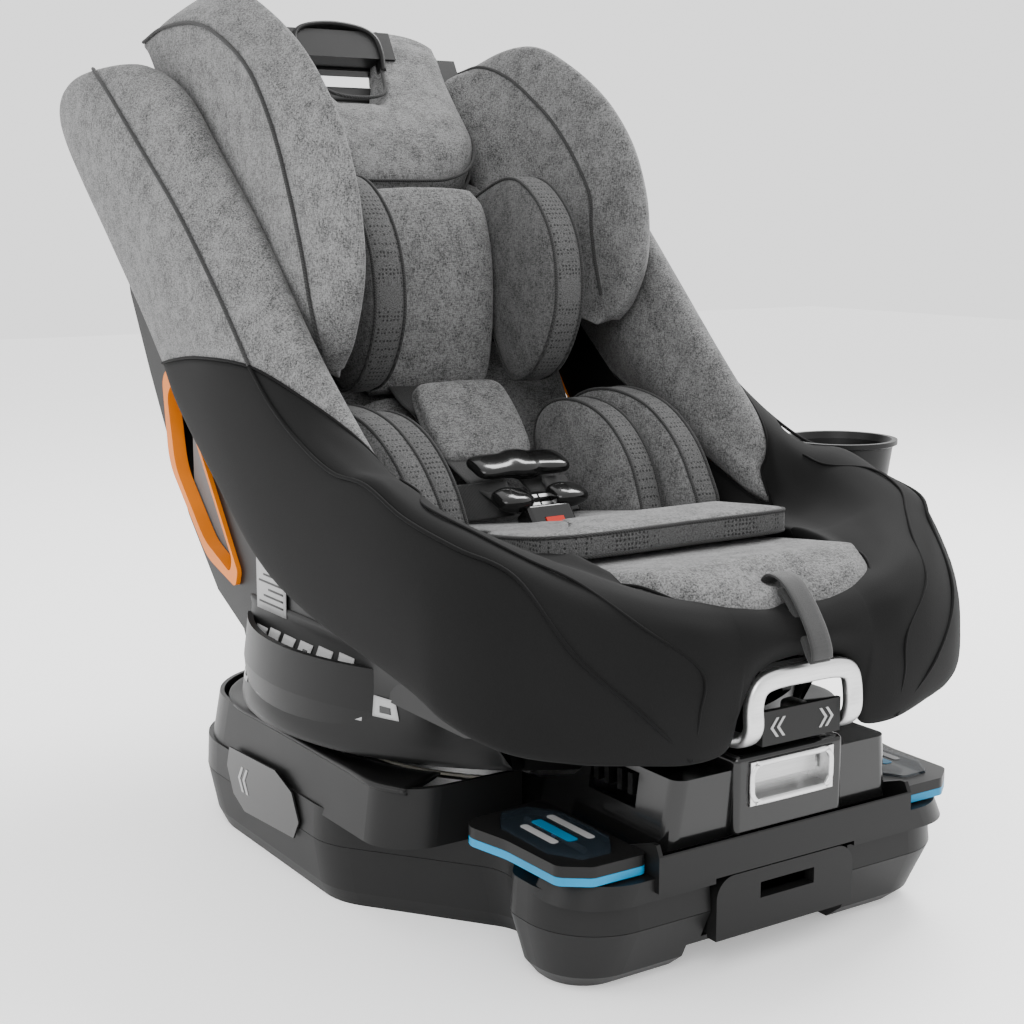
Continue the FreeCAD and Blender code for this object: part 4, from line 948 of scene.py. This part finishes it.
def plate(name, points, thickness, normal, look):
    """A thin flat piece from its outline, with its thickness along a normal."""
    lift = Vector(normal) * thickness
    corners = [Vector(p) for p in points]
    count = len(corners)
    verts = corners + [c + lift for c in corners]
    faces = [tuple(range(count)), tuple(range(count, 2 * count))]
    for k in range(count):
        m = (k + 1) % count
        faces.append((k, m, count + m, count + k))
    return mesh_object(name, verts, faces, look, smooth=False)


def rounded_box(cu, cv, half_u, half_v, radius, to_point):
    """The outline of a rounded rectangle, each (u, v) turned into a point."""
    out = []
    for su, sv, start in ((1, 1, 0), (-1, 1, 90), (-1, -1, 180), (1, -1, 270)):
        for k in range(5):
            a = math.radians(start + 22.5 * k)
            out.append(to_point(cu + su * (half_u - radius) + radius * math.cos(a),
                                cv + sv * (half_v - radius) + radius * math.sin(a)))
    return out


def turn_handle():
    """Satin metal handle with rounded bars, and chevrons on the plate inside it."""
    half = [(-47, -290, 172), (-47, -322, 172), (-47, -346, 174), (-47, -357, 184), (-47, -357, 202),
            (-42, -357, 214),
            (-28, -357, 218.5)]
    points = mirrored(half, (0, -357, 219))
    handle = bar("turn_handle_bar", points, 15, 10, "silver", Vector((0, 1, 0.001)), steps=8)
    done(handle, "turn_handle", "turn_handle", look="silver")
    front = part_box("turn_plate")[0][1] / MM - 0.5
    for sign in (-1, 1):
        for n in range(2):
            tip = sign * (30 - 6 * n)
            for up in (1, -1):
                foot = tip - sign * 5.5
                mark = [(tip, front, 182.5), (foot, front, 182.5 + up * 7),
                        (foot - sign * 2.2, front, 182.5 + up * 7),
                        (tip - sign * 2.4, front, 182.5)]
                label = "u" if up > 0 else "d"
                done(plate("chevron_%d_%d_%s" % (sign + 1, n, label), mark, 0.7, (0, 1, 0), "print"), "seat",
                     look="print")


def recess_frame():
    """Rounded bright rim round the recline lever's recess."""
    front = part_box("recline_bezel")[0][1] / MM
    line = rounded_box(0, 140.5, 37.8, 14.3, 9, lambda u, v: (u, front + 0.8, v))
    done(bar("recess_rim", line, 4.4, 3.4, "silver", Vector((0, 1, 0)), closed=True, steps=2, sides=12),
         "cradle", look="silver")


def base_collar(sign, side, half):
    """A plate that closes the gap between the bowl's rim and the drum, on one side."""
    rings = []
    for y, x in ((-168, half - 12), (-140, half), (-100, half), (-50, half), (0, half), (50, half),
                 (95, half),
                 (125, half - 5), (150, half - 16), (172, half - 34), (186, half - 52)):
        reach = math.hypot(x, y)
        share = COLLAR_INSIDE / reach if reach > COLLAR_INSIDE + 6 else (reach - 6) / reach
        inner = (x * share, y * share)
        middle = ((x + inner[0]) / 2, (y + inner[1]) / 2)
        section = [(x - 1, y, 114), (x + 1.5, y, 118.2), (x - 3, y, 119.4), (*middle, 115), (*inner, 110.5),
                   (*inner, 107.5), (*middle, 110)]
        rings.append([Vector((sign * u, v, z)) for u, v, z in section])
    done(skin("base_collar_" + side, rings, "black", along=5, around=4), "base", look="black")


def base_badge(sign, side):
    """The panel on the base's side, with two chevrons."""
    outline = [(-24, 40), (70, 34), (92, 44), (104, 66), (98, 84), (8, 88), (-22, 78), (-34, 56)]
    panel = plate("base_badge_" + side, [(sign * 239.6, y, z) for y, z in outline], 1.6, (-sign, 0, 0),
                  "gloss")
    done(panel, "base", look="gloss")
    for n in range(2):
        for up in (1, -1):
            y = 76 - 9 * n
            corners = [(y + 4, 62), (y - 3, 62 + up * 11), (y - 6.4, 62 + up * 11), (y + 0.4, 62)]
            mark = [(sign * 240.2, v, z) for v, z in corners]
            chevron = plate("base_chevron_%s_%d_%d" % (side, n, up + 1), mark, 0.6, (-sign, 0, 0), "print")
            done(chevron, "base", look="print")


def level_strips(sign, side):
    """Three strips on the level window: pale, blue, pale."""
    for n, x in enumerate((140, 154, 167)):
        look, half = ("cyan", 4.4) if n == 1 else ("print", 3.2)
        strip = rounded_box(sign * x, -270, half, 27 - 3 * n, 2.5, lambda u, v: (u, v, 106.15))
        done(plate("level_strip_%s_%d" % (side, n), strip, 0.35, (0, 0, 1), look), "base", look=look)


def base_details():
    half = min(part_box("base_upper_housing")[1][0] / MM, 237.0) - 8
    for sign, side in SIDES:
        base_collar(sign, side, half)
        base_badge(sign, side)
        level_strips(sign, side)


def belly_x(y, z):
    """Half width of the shell's lower side: a smooth run from the drum out to the flat wall."""
    low = math.sqrt(max(1.0, DRUM_RADIUS ** 2 - y ** 2))
    return low + (WALL_HALF - low) * ease((z - 130) / 78)


def curved_plate(name, sign, y_range, z_range, lift, thickness, look):
    """A thin card that follows the shell's side."""
    heights = [z_range[0] + (z_range[1] - z_range[0]) * k / 6 for k in range(7)]
    rings = []
    for i in range(7):
        y = y_range[0] + (y_range[1] - y_range[0]) * i / 6
        ring = [Vector((sign * (belly_x(y, z) + lift + thickness), y, z)) for z in heights]
        ring += [Vector((sign * (belly_x(y, z) + lift), y, z)) for z in heights[::-1]]
        rings.append(ring)
    return done(skin(name, rings, look, along=1, around=1), "seat", look=look)


def shell_belly(sign, side):
    """The smooth lower side of the shell, turned in at its rear edge."""
    levels = [129, 140, 152, 166, 180, 194, 206, 214]
    rings = []
    for y, inset in [(y, 0) for y in (-200, -180, -150, -110, -70, -30, 10, 50, 80, 100)] + [(112, 3),
                                                                                             (117, 9)]:
        ring = [Vector((sign * (belly_x(y, z) - inset), y, z)) for z in levels]
        ring += [Vector((sign * (belly_x(y, z) - 10 - inset), y, z)) for z in levels[::-1]]
        rings.append(ring)
    done(skin("shell_belly_" + side, rings, "black", along=4, around=2), "seat", look="black")


CARDS = [(78, 182, 11, 10), (52, 186, 10, 8), (24, 184, 11, 10), (-6, 186, 11, 9), (-38, 188, 12, 9),
         (-72, 190, 12, 9),
         (84, 154, 9, 8), (58, 158, 10, 9), (30, 156, 10, 9), (2, 158, 11, 9), (-28, 160, 11, 8),
         (-60, 162, 11, 8),
         (-94, 164, 12, 8), (-128, 170, 12, 8)]        # y, z, half width and half height


def shell_labels():
    """Blank cards with bars and plain shapes on the shell's sides, and no lettering."""
    for sign, side in SIDES:
        shell_belly(sign, side)
        curved_plate("info_card_" + side, sign, (36, 92), (206, 268), 0.3, 0.5, "print")
        for k in range(9):
            y, z = (41, 87 - 9 * (k % 3)), 212 + 6 * k
            curved_plate("info_line_%s_%d" % (side, k), sign, y, (z, z + 1.6), 0.8, 0.4, "print_dark")
        for n, (y, z, half_y, half_z) in enumerate(CARDS):
            card = (y - half_y, y + half_y), (z - half_z, z + half_z)
            figure = (y - half_y * 0.5, y + half_y * 0.2 * (1 + n % 3)), (z - half_z * 0.5,
                                                                          z + half_z * 0.15 * (n % 4))
            curved_plate("pictogram_%s_%d" % (side, n), sign, *card, 0.3, 0.5, "print")
            curved_plate("figure_%s_%d" % (side, n), sign, *figure, 0.8, 0.4, "print_dark")


def harness_straps():
    """Shoulder straps over the chest pad, and the lap straps to the hips."""
    for sign, side in SIDES:
        lead = [(sign * 27, 158, 380), (sign * 27, 134, 366), (sign * 27, 112, 358), (sign * 27, 88, 343),
                (sign * 27, 62, 326),
                (sign * 26, 24, 309), (sign * 22, -8, 298)]
        nodes = ("harness_webbing",) if sign > 0 else ()
        done(ribbon("shoulder_strap_" + side, lead, 37, 1.8, "webbing"), "seat", *nodes, look="webbing")
        lap = [(sign * 20, -10, 297), (sign * 42, 0, 294), (sign * 70, 26, 288), (sign * 92, 58, 272),
               (sign * 104, 80, 258)]
        done(ribbon("lap_strap_" + side, lap, 34, 1.8, "webbing", across=Vector((0, 0.6, 0.8))), "seat",
             look="webbing")


def soften(names, width):
    """Rounds the hard edges of moulded pieces."""
    for name in names:
        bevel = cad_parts[name].modifiers.new("edge", "BEVEL")
        bevel.width = width * MM
        bevel.segments = 3
        bevel.limit_method = "ANGLE"
        bevel.angle_limit = math.radians(38)
        bevel.use_clamp_overlap = True
        bevel.harden_normals = True


soften(("base_lower_tray", "base_upper_housing", "cradle_block"), 3.0)
soften(("storage_drawer", "turn_plate", "recline_bezel", "belt_guides", "belt_guide_trims", "cup_holder",
        "headrest_grip",
        "belt_path_frames"), 1.4)
harness_straps()
turn_handle()
recess_frame()
base_details()
shell_labels()
bucket_cover()
shoulders()
seam_lines()
seat_cushion()
back_cover()
hip_pads()
wedge()
insert_back()
headrest_wings()
headrest_pad()
head_pillow()
harness()


# ---------------------------------------------------------------- floor, light and camera

def stage():
    """A white floor and world, and three soft lamps."""
    bpy.ops.mesh.primitive_plane_add(size=12)
    floor = bpy.context.object
    floor.name = "floor"
    n = Nodes("floor_white")
    n.bump(n.noise(40, 2, 0.5), 0.02, 0.001)
    floor.data.materials.append(n.base((0.88, 0.88, 0.88), Roughness=0.7, Emission_Color=(1, 1, 1, 1),
                                       Emission_Strength=0.35))
    world = bpy.data.worlds.new("studio")
    bpy.context.scene.world = world
    world.use_nodes = True
    world.node_tree.nodes["Background"].inputs["Color"].default_value = (1, 1, 1, 1)
    world.node_tree.nodes["Background"].inputs["Strength"].default_value = 1.7

    def lamp(name, place, target, size, power):
        light = bpy.data.lights.new(name, "AREA")
        light.size = size
        light.energy = power
        obj = bpy.data.objects.new(name, light)
        obj.location = place
        obj.rotation_euler = (Vector(target) - Vector(place)).to_track_quat("-Z", "Y").to_euler()
        bpy.context.scene.collection.objects.link(obj)

    lamp("key", (1.4, 0.5, 2.3), (0, 0, 0.3), 1.1, 85)
    lamp("front", (-1.5, -2.0, 1.9), (0, 0, 0.35), 1.6, 42)
    lamp("side", (-2.2, 0.6, 1.5), (0, 0, 0.4), 1.4, 24)


CAMERA_PLACE = (-0.8125, -1.2141, 0.540)
CAMERA_LENS, CAMERA_TURN, CAMERA_TILT = 59.836, math.radians(-33.4), math.radians(10.06)


def camera():
    """The product shot: front, a little from the right and above."""
    lens = bpy.data.cameras.new("camera")
    lens.lens = CAMERA_LENS
    lens.sensor_width = 36
    obj = bpy.data.objects.new("camera", lens)
    level = math.cos(CAMERA_TILT)
    forward = Vector((-math.sin(CAMERA_TURN) * level, math.cos(CAMERA_TURN) * level, -math.sin(CAMERA_TILT)))
    obj.location = CAMERA_PLACE
    obj.rotation_euler = forward.to_track_quat("-Z", "Y").to_euler()
    bpy.context.scene.collection.objects.link(obj)
    bpy.context.scene.camera = obj


stage()
camera()
bpy.context.view_layer.update()
